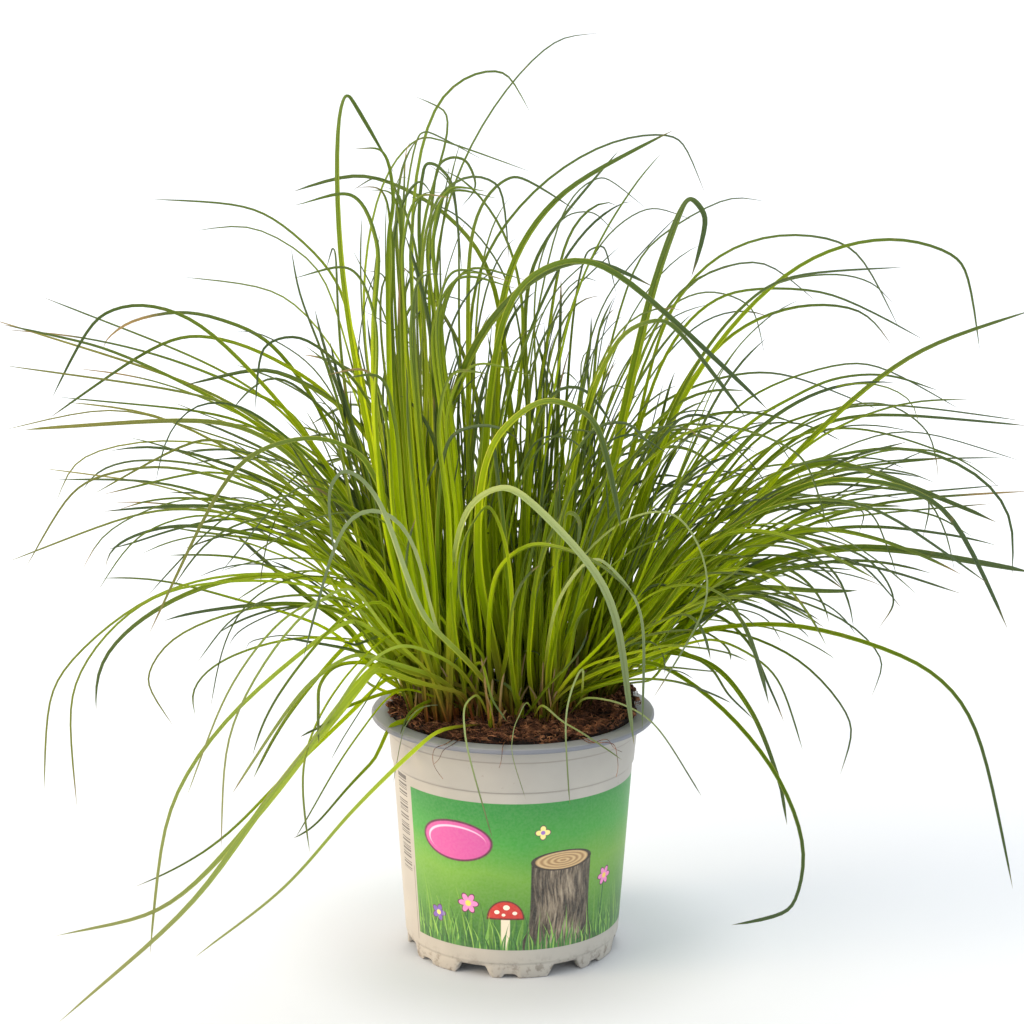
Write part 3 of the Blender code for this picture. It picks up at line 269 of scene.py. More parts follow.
def leafMaterial(name, warm, pale=0.0, ends=leafLook["tip"]):
    # A bright and a dark ramp along the leaf, mixed by the leaf's own tone. Warm makes it brighter, pale
    # shifts it to grey-green, and ends is the colour of its tip.
    look = leafLook
    sheet = Sheet(name)
    across, along, _ = sheet.parts(sheet.node("ShaderNodeUVMap"))
    tone, dry = sheet.attribute("tone"), sheet.attribute("dry")
    where, x, y, z = sheet.place()
    inside = ((x * x + y * y) ** 0.5).step(0.062, 0.038) * z.step(0.158, 0.106)  # where painted shade falls, low down among the shoots
    cloud = sheet.noise(where, 34.0)
    run = along * (1.15 - tone.least(1.5) * 0.3) + (cloud - 0.5) * 0.06  # bright leaves stay young longer
    dark = sheet.ramp(run, [(place, look[ink]) for place, ink in look["darkStops"]])
    bright = sheet.ramp(run, [(place, look[ink]) for place, ink in look["brightStops"]])
    colour = sheet.blend((tone + warm).step(-0.05, 1.0), dark, bright)
    # a painted shaded half, fine veins, and a light rib and painted highlights along the edges
    lines = (across * (look["veins"] * 2 * math.pi)).math("SINE")
    shade = sheet.blend(1.0, colour, look["shade"], "MULTIPLY")
    rib = abs(across - 0.5).step(0.07, 0.02)
    # painted highlight along the leaf's edges
    edge = abs(across - 0.5).step(0.42, 0.48)
    if pale:
        shifted = (along.step(0.12, 0.42) * pale, look["greyed"])
    else:
        # painted shade over the leaves low down among the shoots
        shifted = (inside * (0.8 - tone.least(1.4) * 0.4), look["shadow"])
    # painted shade makes tall leaves darker high up, towards their arches, and tips go grey, flecked and dry
    high = z.step(0.24, 0.34)
    far = along.step(0.5, 0.95).most(high * 0.7)
    flecks = sheet.noise(sheet.stretched(where, 1.0, 1.0, 0.35), 160.0, 4.0, 0.6)
    dead = (along - (1.0 - dry)).step(-0.02, 0.03).most(along.step(0.985, 1.0))
    colour = sheet.layers(
        colour,
        # painted shade on one half of each leaf, and darker fine veins
        ((lines * 0.5 + 0.5) * 0.3 + across.step(0.47, 0.53) * 0.65, shade),
        # the light rib, and painted highlights along the edges
        ((rib * 0.3 + edge * 0.6) * along.step(0.03, 0.2), look["rib"]),
        shifted,
        # painted shade high up on tall leaves
        (high * 0.5, look["deep"]),
        (far * (1.0 - tone.least(1.4) * 0.35), ends),
        (flecks.step(0.62, 0.74) * 0.25, look["dry"]),
        (dead * 0.85, sheet.blend(along.step(0.1, 0.9), look["sheath"], look["dry"])),
    )
    # light through the leaf: most near its base, and less in dry ends and down among the shoots
    glow = [value + (0.7 - value) * pale * 0.5 for value in look["glow"]]
    base, end = look["through"]
    share = (end + (base - end) * run.step(0.66, 0.14)) * (0.55 + tone.least(1.3) * 0.45)
    share = share * (1.0 - dead * 0.7) * along.step(0.0, 0.14) * (1.0 - inside * 0.5) * look["dimmed"]
    groove = sheet.bump(lines * 0.5 - rib * 1.5, 0.00012, 0.6)
    return sheet.finish(colour, 0.42 + flecks * 0.2, groove, (share, glow), shine=0.12)


# Leaves: their routes
bladeForm = {
    "rows": 44,
    "samples": 220,  # of a curve, before its rows are picked
    "fold": 0.55,  # how far the edges stand above the rib, against the half width
    "thick": 0.00034,
    "section": [(-1, 0), (0, 1), (1, 0), (0, -1)],  # edge, groove, edge, keel
    "sharp": math.radians(32),
    "usual": 0.0031,  # width of a leaf that has just the share and the taper below
    "share": {"tuft": 1.03, "leaf": 0.72},  # of the CAD blade's width; broader leaves get more
    "taper": {"tuft": 2.85, "leaf": 3.1},  # before 2.15 is taken off it; a lower one stays broad for longer
    "tip": 0.00085,  # width of the thin end
    "inside": 0.002,  # how far the finer leaves keep within the CAD model's own size
    "own": {  # leaves with their own share of the CAD blade's width, place where they open out, and taper
        "leaf_low_05": (0.66, 0.3, 0.95),
        "leaf_low_06": (0.72, 0.3, 0.95),
        "leaf_low_08": (0.95, 0.3, 0.95),
        "leaf_left_06": (0.52, 0.3, 0.55),
        "leaf_left_12": (0.42, 0.2, 0.55),
        "leaf_left_13": (0.50, 0.2, 0.55),
        "leaf_front_06": (0.64, 0.7, 0.55),
        "leaf_front_11": (0.60, 0.4, 0.55),
        "leaf_right_01": (0.44, 0.2, 0.55),
    },
}
planted = {
    "centre": (-0.004, 0.006),
    "half": (0.044, 0.033),
    "shoots": 26,
    "jitter": 0.0015,  # of the shoots from their places
    "spread": 0.0017,  # of the leaves in a shoot
    "deep": 0.001,  # of a leaf's foot under the soil
}
clearance = {  # of the leaves from the pot
    "beside": 0.002,
    "above": 0.0012,
    "below": 0.012,  # a leaf lower than this under the rim hangs beside the wall
    "inside": 0.005,
    "footRows": 4,  # the lowest rows stay where they are
}


def sightAxes():  # right, forward and up, as the viewer sees them
    lean = eye["tilt"]
    forward = np.array([0.0, math.cos(lean), -math.sin(lean)])
    return np.array([1.0, 0.0, 0.0]), forward, np.array([0.0, math.sin(lean), math.cos(lean)])


def toSpace(seen):
    # Rows of picture x, picture y and depth to places: the picture point is turned back by the roll, and the
    # line of sight through it is followed to the depth
    seen = np.asarray(seen, float)
    right, forward, up = sightAxes()
    x = seen[:, 0] - eye["centre"][0]
    y = eye["centre"][1] - seen[:, 1]
    u = math.cos(eye["roll"]) * x - math.sin(eye["roll"]) * y
    v = math.sin(eye["roll"]) * x + math.cos(eye["roll"]) * y
    line = eye["focus"] * forward + np.outer(u, right) + np.outer(v, up)
    share = (seen[:, 2] - eye["place"][1]) / line[:, 1]
    return np.array(eye["place"]) + line * share[:, None]


def soilHeight(x, y):  # the CAD soil's form: level, a hump at the back right, and soft lumps
    away = (x - 0.036) ** 2 + (y - 0.012) ** 2
    lumps = np.sin(260 * x + 1.3) * np.sin(230 * y + 0.4) + 0.6 * np.sin(190 * (x - y))
    return pot["soilLevel"] + 0.0062 * np.exp(-away / (2 * 0.020**2)) + 0.0005 * lumps


def shootPlaces():  # places of the shoots on a sunflower spiral in the planted oval
    number = np.arange(planted["shoots"]) + 0.5
    reach, angle = np.sqrt(number / planted["shoots"]), number * math.pi * (3 - math.sqrt(5))
    x = planted["centre"][0] + planted["half"][0] * reach * np.cos(angle)
    y = planted["centre"][1] + planted["half"][1] * reach * np.sin(angle)
    return np.column_stack([x, y]) + rng.normal(0, planted["jitter"], (planted["shoots"], 2))


def footAt(x, y):  # a leaf's foot, a little under the soil's surface
    return np.array([x, y, float(soilHeight(x, y)) - planted["deep"]])


def plantedSpot(x, y):  # a foot in the shoot nearest to a place on the soil
    near = np.argmin(np.hypot(shoots[:, 0] - x, shoots[:, 1] - y))
    return footAt(*(shoots[near] + rng.normal(0, planted["spread"], 2)))


def curveThrough(points, samples):  # centripetal Catmull-Rom curve; knots grow by the root of each step
    points = np.asarray(points, float)
    ends = np.vstack([2 * points[0] - points[1], points, 2 * points[-1] - points[-2]])
    gaps = np.maximum(np.linalg.norm(np.diff(ends[:, :3], axis=0), axis=1), 1e-7)
    knots = np.concatenate([[0.0], np.cumsum(np.sqrt(gaps))])
    where = np.linspace(knots[1], knots[-2], samples)
    span = np.clip(np.searchsorted(knots, where, side="right") - 1, 1, len(ends) - 3)
    t = [knots[span + k][:, None] for k in range(-1, 3)]
    p = [ends[span + k] for k in range(-1, 3)]
    where = where[:, None]

    def lean(a, b, ta, tb):
        return a + (b - a) * (where - ta) / (tb - ta)

    a1, a2, a3 = (lean(p[k], p[k + 1], t[k], t[k + 1]) for k in range(3))
    b1, b2 = lean(a1, a2, t[0], t[2]), lean(a2, a3, t[1], t[3])
    return lean(b1, b2, t[1], t[2])


def readAt(where, run, rows):  # rows read at new shares of their run, column by column
    return np.column_stack([np.interp(where, run, rows[:, k]) for k in range(rows.shape[1])])


def evenRows(dense, rows):  # rows spaced by length, and closer where the route bends
    steps = np.diff(dense[:, :3], axis=0)
    lengths = np.maximum(np.linalg.norm(steps, axis=1), 1e-9)
    ways = steps / lengths[:, None]
    turns = np.concatenate([[0.0], np.arccos(np.clip(np.sum(ways[1:] * ways[:-1], axis=1), -1, 1))])
    cost = np.concatenate([[0.0], np.cumsum(lengths / lengths.sum() + turns / 6.0)])
    return readAt(np.linspace(0, cost[-1], rows), cost, dense)


def unit(rows):
    return rows / np.maximum(np.linalg.norm(rows, axis=-1, keepdims=True), 1e-9)


def squareTo(ways, across):  # width directions less their part along the route
    return unit(across - ways * np.sum(across * ways, axis=-1)[..., None])


def shareRun(route):  # each row's share of the length
    run = np.concatenate([[0.0], np.cumsum(np.linalg.norm(np.diff(route, axis=0), axis=1))])
    return run / run[-1]


def rounded(route, times):  # half of each row and a quarter of both neighbours, a few times over
    for _ in range(times):
        route[1:-1] = 0.25 * route[:-2] + 0.5 * route[1:-1] + 0.25 * route[2:]
    return route


def looseMesh(node):  # places and triangles of a CAD node, with its loose corners joined
    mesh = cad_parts[node].data
    raw = np.empty(len(mesh.vertices) * 3, np.float32)
    mesh.vertices.foreach_get("co", raw)
    places, index = np.unique(np.round(raw.reshape(-1, 3), 6), axis=0, return_inverse=True)
    mesh.calc_loop_triangles()
    corners = np.empty(len(mesh.loop_triangles) * 3, np.int32)
    mesh.loop_triangles.foreach_get("vertices", corners)
    return places.astype(float), index.reshape(-1)[corners].reshape(-1, 3)


def cadBlades(node):
    # The sections of each blade of a CAD node, from base to tip. A tip is a corner whose faces' angles add up
    # to under 100 degrees. Each section is the next ring of four corners: two edges, and two in the middle.
    places, faces = looseMesh(node)
    angles = np.zeros(len(places))
    for k in range(3):
        a, b, c = (places[faces[:, (k + j) % 3]] for j in range(3))
        corner = np.arccos(np.clip(np.sum(unit(b - a) * unit(c - a), axis=1), -1, 1))
        np.add.at(angles, faces[:, k], corner)
    friends = [set() for _ in places]
    for a, b, c in faces.tolist():
        friends[a] |= {b, c}
        friends[b] |= {a, c}
        friends[c] |= {a, b}
    blades = []
    for tip in np.nonzero(angles < math.radians(100))[0].tolist():
        seen, ring, rings = {tip}, friends[tip], []
        while len(ring) == 4:
            rings.append(sorted(ring))
            seen |= ring
            ring = set().union(*(friends[k] for k in ring)) - seen
        if len(rings) < 2:
            continue
        rows, across = [], None
        for ring in rings:
            four = places[ring]
            width, i, j = max((np.linalg.norm(four[i] - four[j]), i, j) for i in range(4) for j in range(i))
            middle = four[[k for k in range(4) if k not in (i, j)]].mean(axis=0)
            side = (four[i] - four[j]) / width
            if across is not None and np.dot(side, across) < 0:
                side = -side
            across = side
            rows.append(np.concatenate([middle, side, [width]]))
        last = rows[0].copy()
        last[:3] = places[tip]
        blades.append(np.array([last] + rows)[::-1])
    return blades


def widthAlong(share, full, opening=0.34, taper=None, opened=0.22):
    # full * sheath * (thin end + the rest * the length that is left ^ taper). The sheath opens evenly from
    # its share of the width at the foot, and the thin end closes over the last few hundredths.
    taper = rng.uniform(0.5, 1.3) if taper is None else taper
    tip = min(0.5, bladeForm["tip"] / full)
    sheath = opening + (1 - opening) * np.clip(share / opened, 0, 1)
    drawn = np.maximum(1 - np.clip((share - 0.12) / 0.88, 0, 1), 0.0) ** taper
    return full * sheath * (tip * np.minimum(1.0, (1 - share) / 0.06) + (1 - tip) * drawn)


def straightBase(route, amount):
    # Draws the lowest part of a leaf towards the straight line from its foot to a place at 0.3 of its length,
    # or lower where the leaf soon turns over
    run = shareRun(route)
    reach = max(0.02, min(0.3, 0.6 * run[np.argmax(route[:, 2])]))
    line = route[0] + (readAt([reach], run, route)[0] - route[0]) * (run / reach)[:, None]
    return route + (line - route) * amount * np.clip(1 - (run / reach) ** 2, 0, 1)[:, None]


def clearOfPot(route):  # lifts a leaf over the rim, and keeps what hangs outside the wall
    far = np.hypot(route[:, 0], route[:, 1])
    outer, inner = pot["rim"] + clearance["beside"], pot["collar"] - clearance["inside"]
    over, under = pot["height"] + clearance["above"], pot["height"] - clearance["below"]
    out = route.copy()
    low = (far > inner) & (far < outer) & (route[:, 2] < over) & (route[:, 2] > under)
    out[low, 2] = over
    hanging = (route[:, 2] <= under) & (far < outer) & (np.arange(len(route)) > clearance["footRows"])
    out[:, :2] *= np.where(hanging, outer / np.maximum(far, 1e-6), 1.0)[:, None]
    return rounded(out, 2) if low.any() or hanging.any() else out


def bladeFromCad(node, rows, crown=None):
    # A smooth blade through a CAD blade's sections, down to the soil. Its width is the solid's * its share *
    # the solid's width over the usual one, so broad leaves stay broad and narrow ones get finer.
    kind = node[:4]
    full = rows[2:, 6].max()  # past the crown's own section
    over = full / bladeForm["usual"]
    if node in bladeForm["own"]:
        part, opened, taper = bladeForm["own"][node]
    else:
        part, opened = bladeForm["share"][kind], 0.2
        taper = float(np.clip(bladeForm["taper"][kind] - 2.15 * over, 0.3, 1.2)) + rng.uniform(-0.1, 0.1)
    if crown is not None:
        foot = rows[0].copy()
        foot[:3] = footAt(*(crown[:2] + 0.75 * (foot[:2] - crown[:2])))
        rows = np.vstack([foot, rows])
    even = evenRows(curveThrough(rows, bladeForm["samples"]), bladeForm["rows"])
    route = rounded(straightBase(even[:, :3], 0.6 if crown is None else 0.8), 3)
    width = widthAlong(shareRun(route), full * (part * over), 0.30, taper, opened)
    return {"route": route, "across": unit(even[:, 3:6]), "width": width}


def turnedAcross(route, turn):  # width directions that face the viewer, turned about the leaf's own run
    ways = unit(np.gradient(route, axis=0))
    flat = unit(np.cross(ways, unit(route - np.array(eye["place"]))))
    same = np.sign(np.sum(flat[1:] * flat[:-1], axis=1))
    flat = flat * np.concatenate([[1.0], np.cumprod(same)])[:, None]  # keeps one side from row to row
    return unit(flat * np.cos(turn)[:, None] + np.cross(flat, ways) * np.sin(turn)[:, None])


def bladeMesh(name, blades, material):
    # Each row's section is the route plus x * half width along the width direction, plus the fold
    # |x| * half width and the thickness along the face direction. The last row closes on the tip.
    form = bladeForm
    count, rows, ring = len(blades), form["rows"], len(form["section"])
    route, across, width = (np.array([b[key] for b in blades]) for key in ("route", "across", "width"))
    ways = unit(np.gradient(route, axis=1))
    across = squareTo(ways, across)
    face = np.cross(ways, across)
    bend = np.sum(np.gradient(ways, axis=1) * face, axis=(1, 2))
    turned = np.where(bend > 0, -1.0, 1.0)[:, None, None]  # the groove is on the outer side of the arch
    face, across = face * turned, across * turned
    section = np.array(form["section"], float)
    half = 0.5 * width[:, :-1, None, None]
    x = section[:, 0][None, None, :, None]
    y = section[:, 1][None, None, :, None]
    thick = 0.5 * np.minimum(form["thick"], 0.45 * np.maximum(width[:, :-1], 1e-5))[:, :, None, None]
    body = (
        route[:, :-1, None, :]
        + across[:, :-1, None, :] * x * half
        + face[:, :-1, None, :] * (np.abs(x) * half * form["fold"] + y * thick)
    )
    places = np.concatenate([body.reshape(count, -1, 3), route[:, -1:, :]], axis=1)
    each = (rows - 1) * ring + 1
    first, k = (np.arange(count) * each)[:, None], np.arange(ring)[None]
    last = first + (rows - 2) * ring
    fans = np.stack([last + k, first + each - 1 + 0 * k, last + (k + 1) % ring], axis=-1)
    faces = ringFaces(count, each, rows - 1, ring, turnedOver) + fans.reshape(-1, 3).tolist()
    piece = makePiece(name, places, faces + (first + k).tolist(), material)
    # u goes 0 to 1 across the leaf on both faces, v from base to tip
    run = np.array([shareRun(b["route"]) for b in blades])
    u = np.tile(np.concatenate([np.tile(0.5 + 0.5 * section[:, 0], rows - 1), [0.5]]), count)
    v = np.concatenate([np.repeat(run[:, :-1], ring, axis=1), np.ones((count, 1))], axis=1).reshape(-1)
    mesh = piece.data
    corners = np.empty(len(mesh.loops), np.int32)
    mesh.loops.foreach_get("vertex_index", corners)
    layer = mesh.uv_layers.new(name="UVMap")
    layer.data.foreach_set("uv", np.column_stack([u[corners], v[corners]]).ravel())
    for key in ("tone", "dry"):
        values = np.repeat(np.array([b[key] for b in blades]), each)
        mesh.attributes.new(key, "FLOAT", "POINT").data.foreach_set("value", values.astype(np.float32))
    mesh.update()
    mesh.set_sharp_from_angle(angle=form["sharp"])
    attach(piece, "root")
    return piece


def leafTone(low, high):  # how bright a leaf is, and how much of its end is dry
    ends, chances = leafLook["dryEnds"]
    dry = rng.choice(ends, p=chances)
    return {"tone": float(rng.uniform(low, high)), "dry": float(dry)}


def insideBox(route):  # whether a leaf keeps within the CAD model's own size
    low, high = np.array(startBounds[0]), np.array(startBounds[1])
    return bool(((route > low + bladeForm["inside"]) & (route < high - bladeForm["inside"])).all())


# Finer leaves, drawn over the front view like the CAD leaves: depth of the tip, width, turn in degrees, and
# the route as picture x and y in turn
drawnTones = (0.2, 0.9)
drawnLeaves = [
    (-0.020, 0.0036, 45, [440, 700, 432, 500, 424, 300, 420, 230, 422, 185, 427, 165, 434, 165, 443, 172, 451,
        184, 457, 225, 462, 275]),
    (0.000, 0.0022, 50, [446, 690, 438, 480, 430, 300, 433, 200, 440, 165, 448, 159, 457, 158, 466, 162, 475,
        182, 473, 192, 460, 208]),
    (0.020, 0.0040, 45, [432, 697, 380, 580, 330, 480, 290, 415, 240, 388, 190, 367, 140, 351, 80, 338, 0,
        329]),
    (0.010, 0.0038, 50, [434, 697, 385, 590, 330, 492, 262, 430, 190, 388, 105, 350, 43, 334, 0, 324]),
    (0.040, 0.0028, 50, [425, 697, 385, 570, 335, 440, 270, 345, 220, 320, 178, 313, 130, 323, 107, 340, 103,
        350]),
    (-0.030, 0.0028, 50, [425, 700, 370, 590, 320, 520, 285, 508, 270, 535, 262, 570, 260, 590]),
    (-0.080, 0.0030, 50, [425, 700, 385, 590, 340, 500, 305, 487, 270, 512, 240, 550, 220, 573]),
    (0.000, 0.0030, 50, [430, 703, 370, 610, 320, 550, 270, 524, 225, 520, 175, 530, 130, 544, 105, 550]),
    (-0.100, 0.0034, 50, [428, 712, 418, 670, 400, 640, 350, 604, 300, 596, 260, 603, 230, 622, 205, 652, 197,
        663]),
    (-0.070, 0.0030, 50, [430, 712, 415, 690, 395, 692, 360, 703, 340, 712, 325, 725, 300, 737]),
    (-0.075, 0.0026, 50, [426, 712, 405, 680, 365, 664, 335, 668, 321, 685, 319, 710, 319, 745]),
    (-0.040, 0.0028, 50, [430, 712, 415, 670, 400, 640, 385, 635, 370, 640, 355, 645, 342, 641]),
    (-0.060, 0.0030, 50, [448, 722, 440, 702, 425, 704, 410, 714, 400, 735]),
    (0.030, 0.0036, 50, [600, 700, 640, 480, 700, 360, 765, 290, 830, 275, 870, 283, 896, 306]),
    (-0.060, 0.0032, 50, [458, 716, 442, 600, 440, 500, 452, 438, 475, 427, 497, 428, 520, 440]),
    (-0.110, 0.0036, 50, [505, 718, 510, 620, 503, 540, 487, 508, 472, 526, 462, 550, 460, 590, 470, 635]),
    (-0.090, 0.0034, 50, [495, 718, 490, 640, 500, 570, 530, 546, 560, 548, 600, 565, 640, 600]),
    (-0.040, 0.0030, 50, [505, 712, 505, 600, 512, 500, 540, 440, 570, 440, 592, 460]),
    (0.060, 0.0034, 50, [595, 704, 640, 590, 700, 480, 750, 425, 790, 400, 835, 380, 885, 376, 940, 391]),
    (0.010, 0.0028, 50, [600, 704, 680, 590, 780, 500, 870, 455, 920, 450, 955, 458, 990, 480, 1004, 492]),
    (0.020, 0.0038, 50, [600, 706, 660, 600, 730, 510, 775, 475, 830, 460, 880, 460, 908, 470]),
    (-0.010, 0.0036, 50, [602, 706, 670, 600, 750, 510, 810, 478, 860, 468, 910, 474, 938, 484]),
    (-0.040, 0.0038, 45, [600, 710, 650, 640, 710, 570, 760, 540, 815, 518, 865, 510, 930, 515, 975, 538]),
    (-0.060, 0.0034, 50, [600, 712, 650, 640, 715, 565, 765, 537, 815, 541, 870, 562, 893, 600, 878, 630]),
    (0.040, 0.0026, 50, [600, 704, 670, 580, 750, 470, 820, 415, 885, 405, 925, 430, 936, 460, 938, 482]),
    (0.000, 0.0028, 50, [600, 708, 680, 610, 780, 530, 860, 492, 905, 490, 927, 500, 922, 543]),
    (0.020, 0.0028, 50, [600, 708, 670, 620, 760, 545, 820, 512, 862, 512, 858, 537]),
    (-0.020, 0.0030, 50, [600, 710, 680, 620, 770, 540, 830, 507, 868, 512, 888, 550, 898, 580]),
    (-0.050, 0.0034, 50, [590, 714, 606, 676, 650, 640, 700, 610, 745, 597, 790, 608, 825, 628]),
    (-0.070, 0.0034, 50, [598, 714, 620, 665, 664, 648, 691, 657, 711, 670, 728, 695, 753, 719]),
    (-0.060, 0.0028, 50, [598, 714, 650, 655, 710, 665, 750, 710, 780, 785, 783, 800, 787, 825]),
    (-0.030, 0.0028, 50, [600, 712, 650, 640, 710, 615, 745, 640, 770, 690, 784, 722]),
    (-0.060, 0.0026, 50, [466, 716, 468, 680, 480, 664, 492, 700, 507, 722]),
    (-0.045, 0.0044, 20, [438, 704, 424, 520, 410, 380, 400, 280, 397, 215, 404, 165, 418, 140, 430, 137]),
    (-0.035, 0.0042, 25, [442, 704, 432, 520, 424, 400, 424, 300, 434, 235, 446, 185, 450, 160]),
    (-0.050, 0.0040, 25, [434, 704, 416, 540, 400, 430, 392, 330, 392, 250, 404, 200, 420, 182, 436, 200]),
    (-0.040, 0.0042, 20, [446, 706, 440, 560, 436, 420, 430, 330, 414, 262, 404, 232]),
]


def drawnBlade(tip, width, turn, seen, foot=None):
    # The route goes from the soil to the tip's depth by its share of the length ^ 1.35. The leaf is turned to
    # one side by the given angle, and a little more or less towards its tip.
    seen = np.reshape(np.asarray(seen, float), (-1, 2))
    if foot is None:
        near, far = toSpace([(*seen[0], 0.0), (*seen[0], 0.1)])
        share = (pot["soilLevel"] - near[2]) / (far[2] - near[2])
        foot = plantedSpot(*(near + (far - near) * share)[:2])
    depth = foot[1] + (tip - foot[1]) * shareRun(seen) ** 1.35
    places = np.vstack([foot, toSpace(np.column_stack([seen, depth]))[1:]])
    even = evenRows(curveThrough(places, bladeForm["samples"]), bladeForm["rows"])
    route = clearOfPot(straightBase(even, 0.8))
    angle = np.radians(turn) * rng.choice([-1, 1]) + rng.normal(0, 0.5) * np.linspace(0, 1, len(route))
    return {"route": route, "across": turnedAcross(route, angle), "width": widthAlong(shareRun(route), width)}


# The bright sheaf left of the middle: broad young blades side by side, in front of the others
sheaf = {
    "count": 26,
    "foot": (-0.0285, -0.0210),
    "footSpread": (0.0030, 0.0022),
    "spread": [  # middle of the sheaf in the picture, and the distance from blade to blade
        (440, 716, 0.0), (432, 620, 2.0), (421, 520, 3.2), (412, 420, 3.2),
        (407, 320, 2.9), (405, 240, 2.5), (408, 195, 2.3),
    ],
    "depth": -0.052,
    "depthSpread": 0.007,
    "width": (0.0026, 0.0038),
    "turn": (0, 35),
    "tone": (0.9, 1.5),
}


def sheafBlades():
    # Each blade keeps its place in the sheaf, in blade distances from the middle, up to a height of its own.
    # Then it leans over by two more points, and further the nearer it stands to the sheaf's side.
    blades = []
    for _ in range(sheaf["count"]):
        place = rng.permutation(sheaf["count"])[0] - (sheaf["count"] - 1) / 2
        keep = max(4, int(round(len(sheaf["spread"]) * rng.uniform(0.5, 1.0))))
        seen = [(x + wide * place, y + rng.normal(0, 3)) for x, y, wide in sheaf["spread"][:keep]]
        lean = place * 2.0 + rng.normal(0, 7)
        seen.append((seen[-1][0] + lean, seen[-1][1] - 45))
        seen.append((seen[-1][0] + lean * 2.5, seen[-1][1] - 14 + abs(lean)))
        foot = footAt(*(np.array(sheaf["foot"]) + rng.normal(0, sheaf["footSpread"])))
        depth = sheaf["depth"] + rng.normal(0, sheaf["depthSpread"])
        blade = drawnBlade(depth, rng.uniform(*sheaf["width"]), rng.uniform(*sheaf["turn"]), seen, foot)
        blades.append({**blade, **leafTone(*sheaf["tone"])})
    return blades


# Leaves between the drawn ones: each blends two neighbours, then is shortened, turned about its foot and
# curled at its tip
usual = {  # of every form below that doesn't say otherwise
    "tone": (0.15, 1.3),
    "front": 0.0,  # how far the foot is moved forward
    "lowest": 0.0,  # how low a leaf may droop outside the pot
    "foot": 0.005,
    "curl": 0.006,
    "wave": 0.0012,
    "twist": (0.5, 0.6),  # of the whole leaf, and from foot to tip
}
between = {  # scale: size of the whole leaf, keep: the share of its length that is left
    "core": {
        "from": ("tuft",), "count": 350, "turn": 15, "tilt": 8,
        "keep": (0.52, 0.96), "scale": (0.45, 0.98), "width": (0.0018, 0.0037),
    },
    "left": {
        "from": ("leaf_left",), "count": 30, "turn": 10, "tilt": 3,
        "keep": (0.85, 1.0), "scale": (0.6, 1.03), "width": (0.0020, 0.0036), "tone": (0.3, 1.4),
    },
    "low": {
        "from": ("leaf_low",), "count": 7, "turn": 8, "tilt": 2,
        # painted light: bright tones for the low leaves
        "keep": (0.8, 1.0), "scale": (0.6, 0.95), "width": (0.0018, 0.0030), "tone": (0.7, 1.4),
    },
    "right": {
        "from": ("leaf_right",), "count": 36, "turn": 10, "tilt": 3,
        "keep": (0.85, 1.0), "scale": (0.6, 1.03), "width": (0.0020, 0.0036), "lowest": 0.130,
    },
    "inner": {
        "from": ("tuft_right", "leaf_right"), "count": 90, "turn": 16, "tilt": 7,
        "keep": (0.5, 0.95), "scale": (0.6, 0.95), "width": (0.0018, 0.0034), "front": 0.010, "lowest": 0.125,
    },
    "innerLeft": {
        "from": ("tuft_left", "tuft_middle_left", "leaf_left"), "count": 62, "turn": 16, "tilt": 7,
        "keep": (0.5, 0.95), "scale": (0.6, 0.95), "width": (0.0018, 0.0034), "front": 0.006, "lowest": 0.110,
    },
    "short": {
        "from": ("tuft",), "count": 70, "turn": 50, "tilt": 18,
        "keep": (0.10, 0.30), "scale": (0.9, 1.1), "width": (0.0010, 0.0018),
    },
    "back": {  # side leaves, swung round to bearings at the back, in degrees
        "from": ("leaf_left", "leaf_right"), "count": 64, "swing": (22, 162), "tilt": 4,
        "keep": (0.8, 1.0), "scale": (0.6, 1.0), "width": (0.0018, 0.0032), "lowest": 0.120,
    },
}


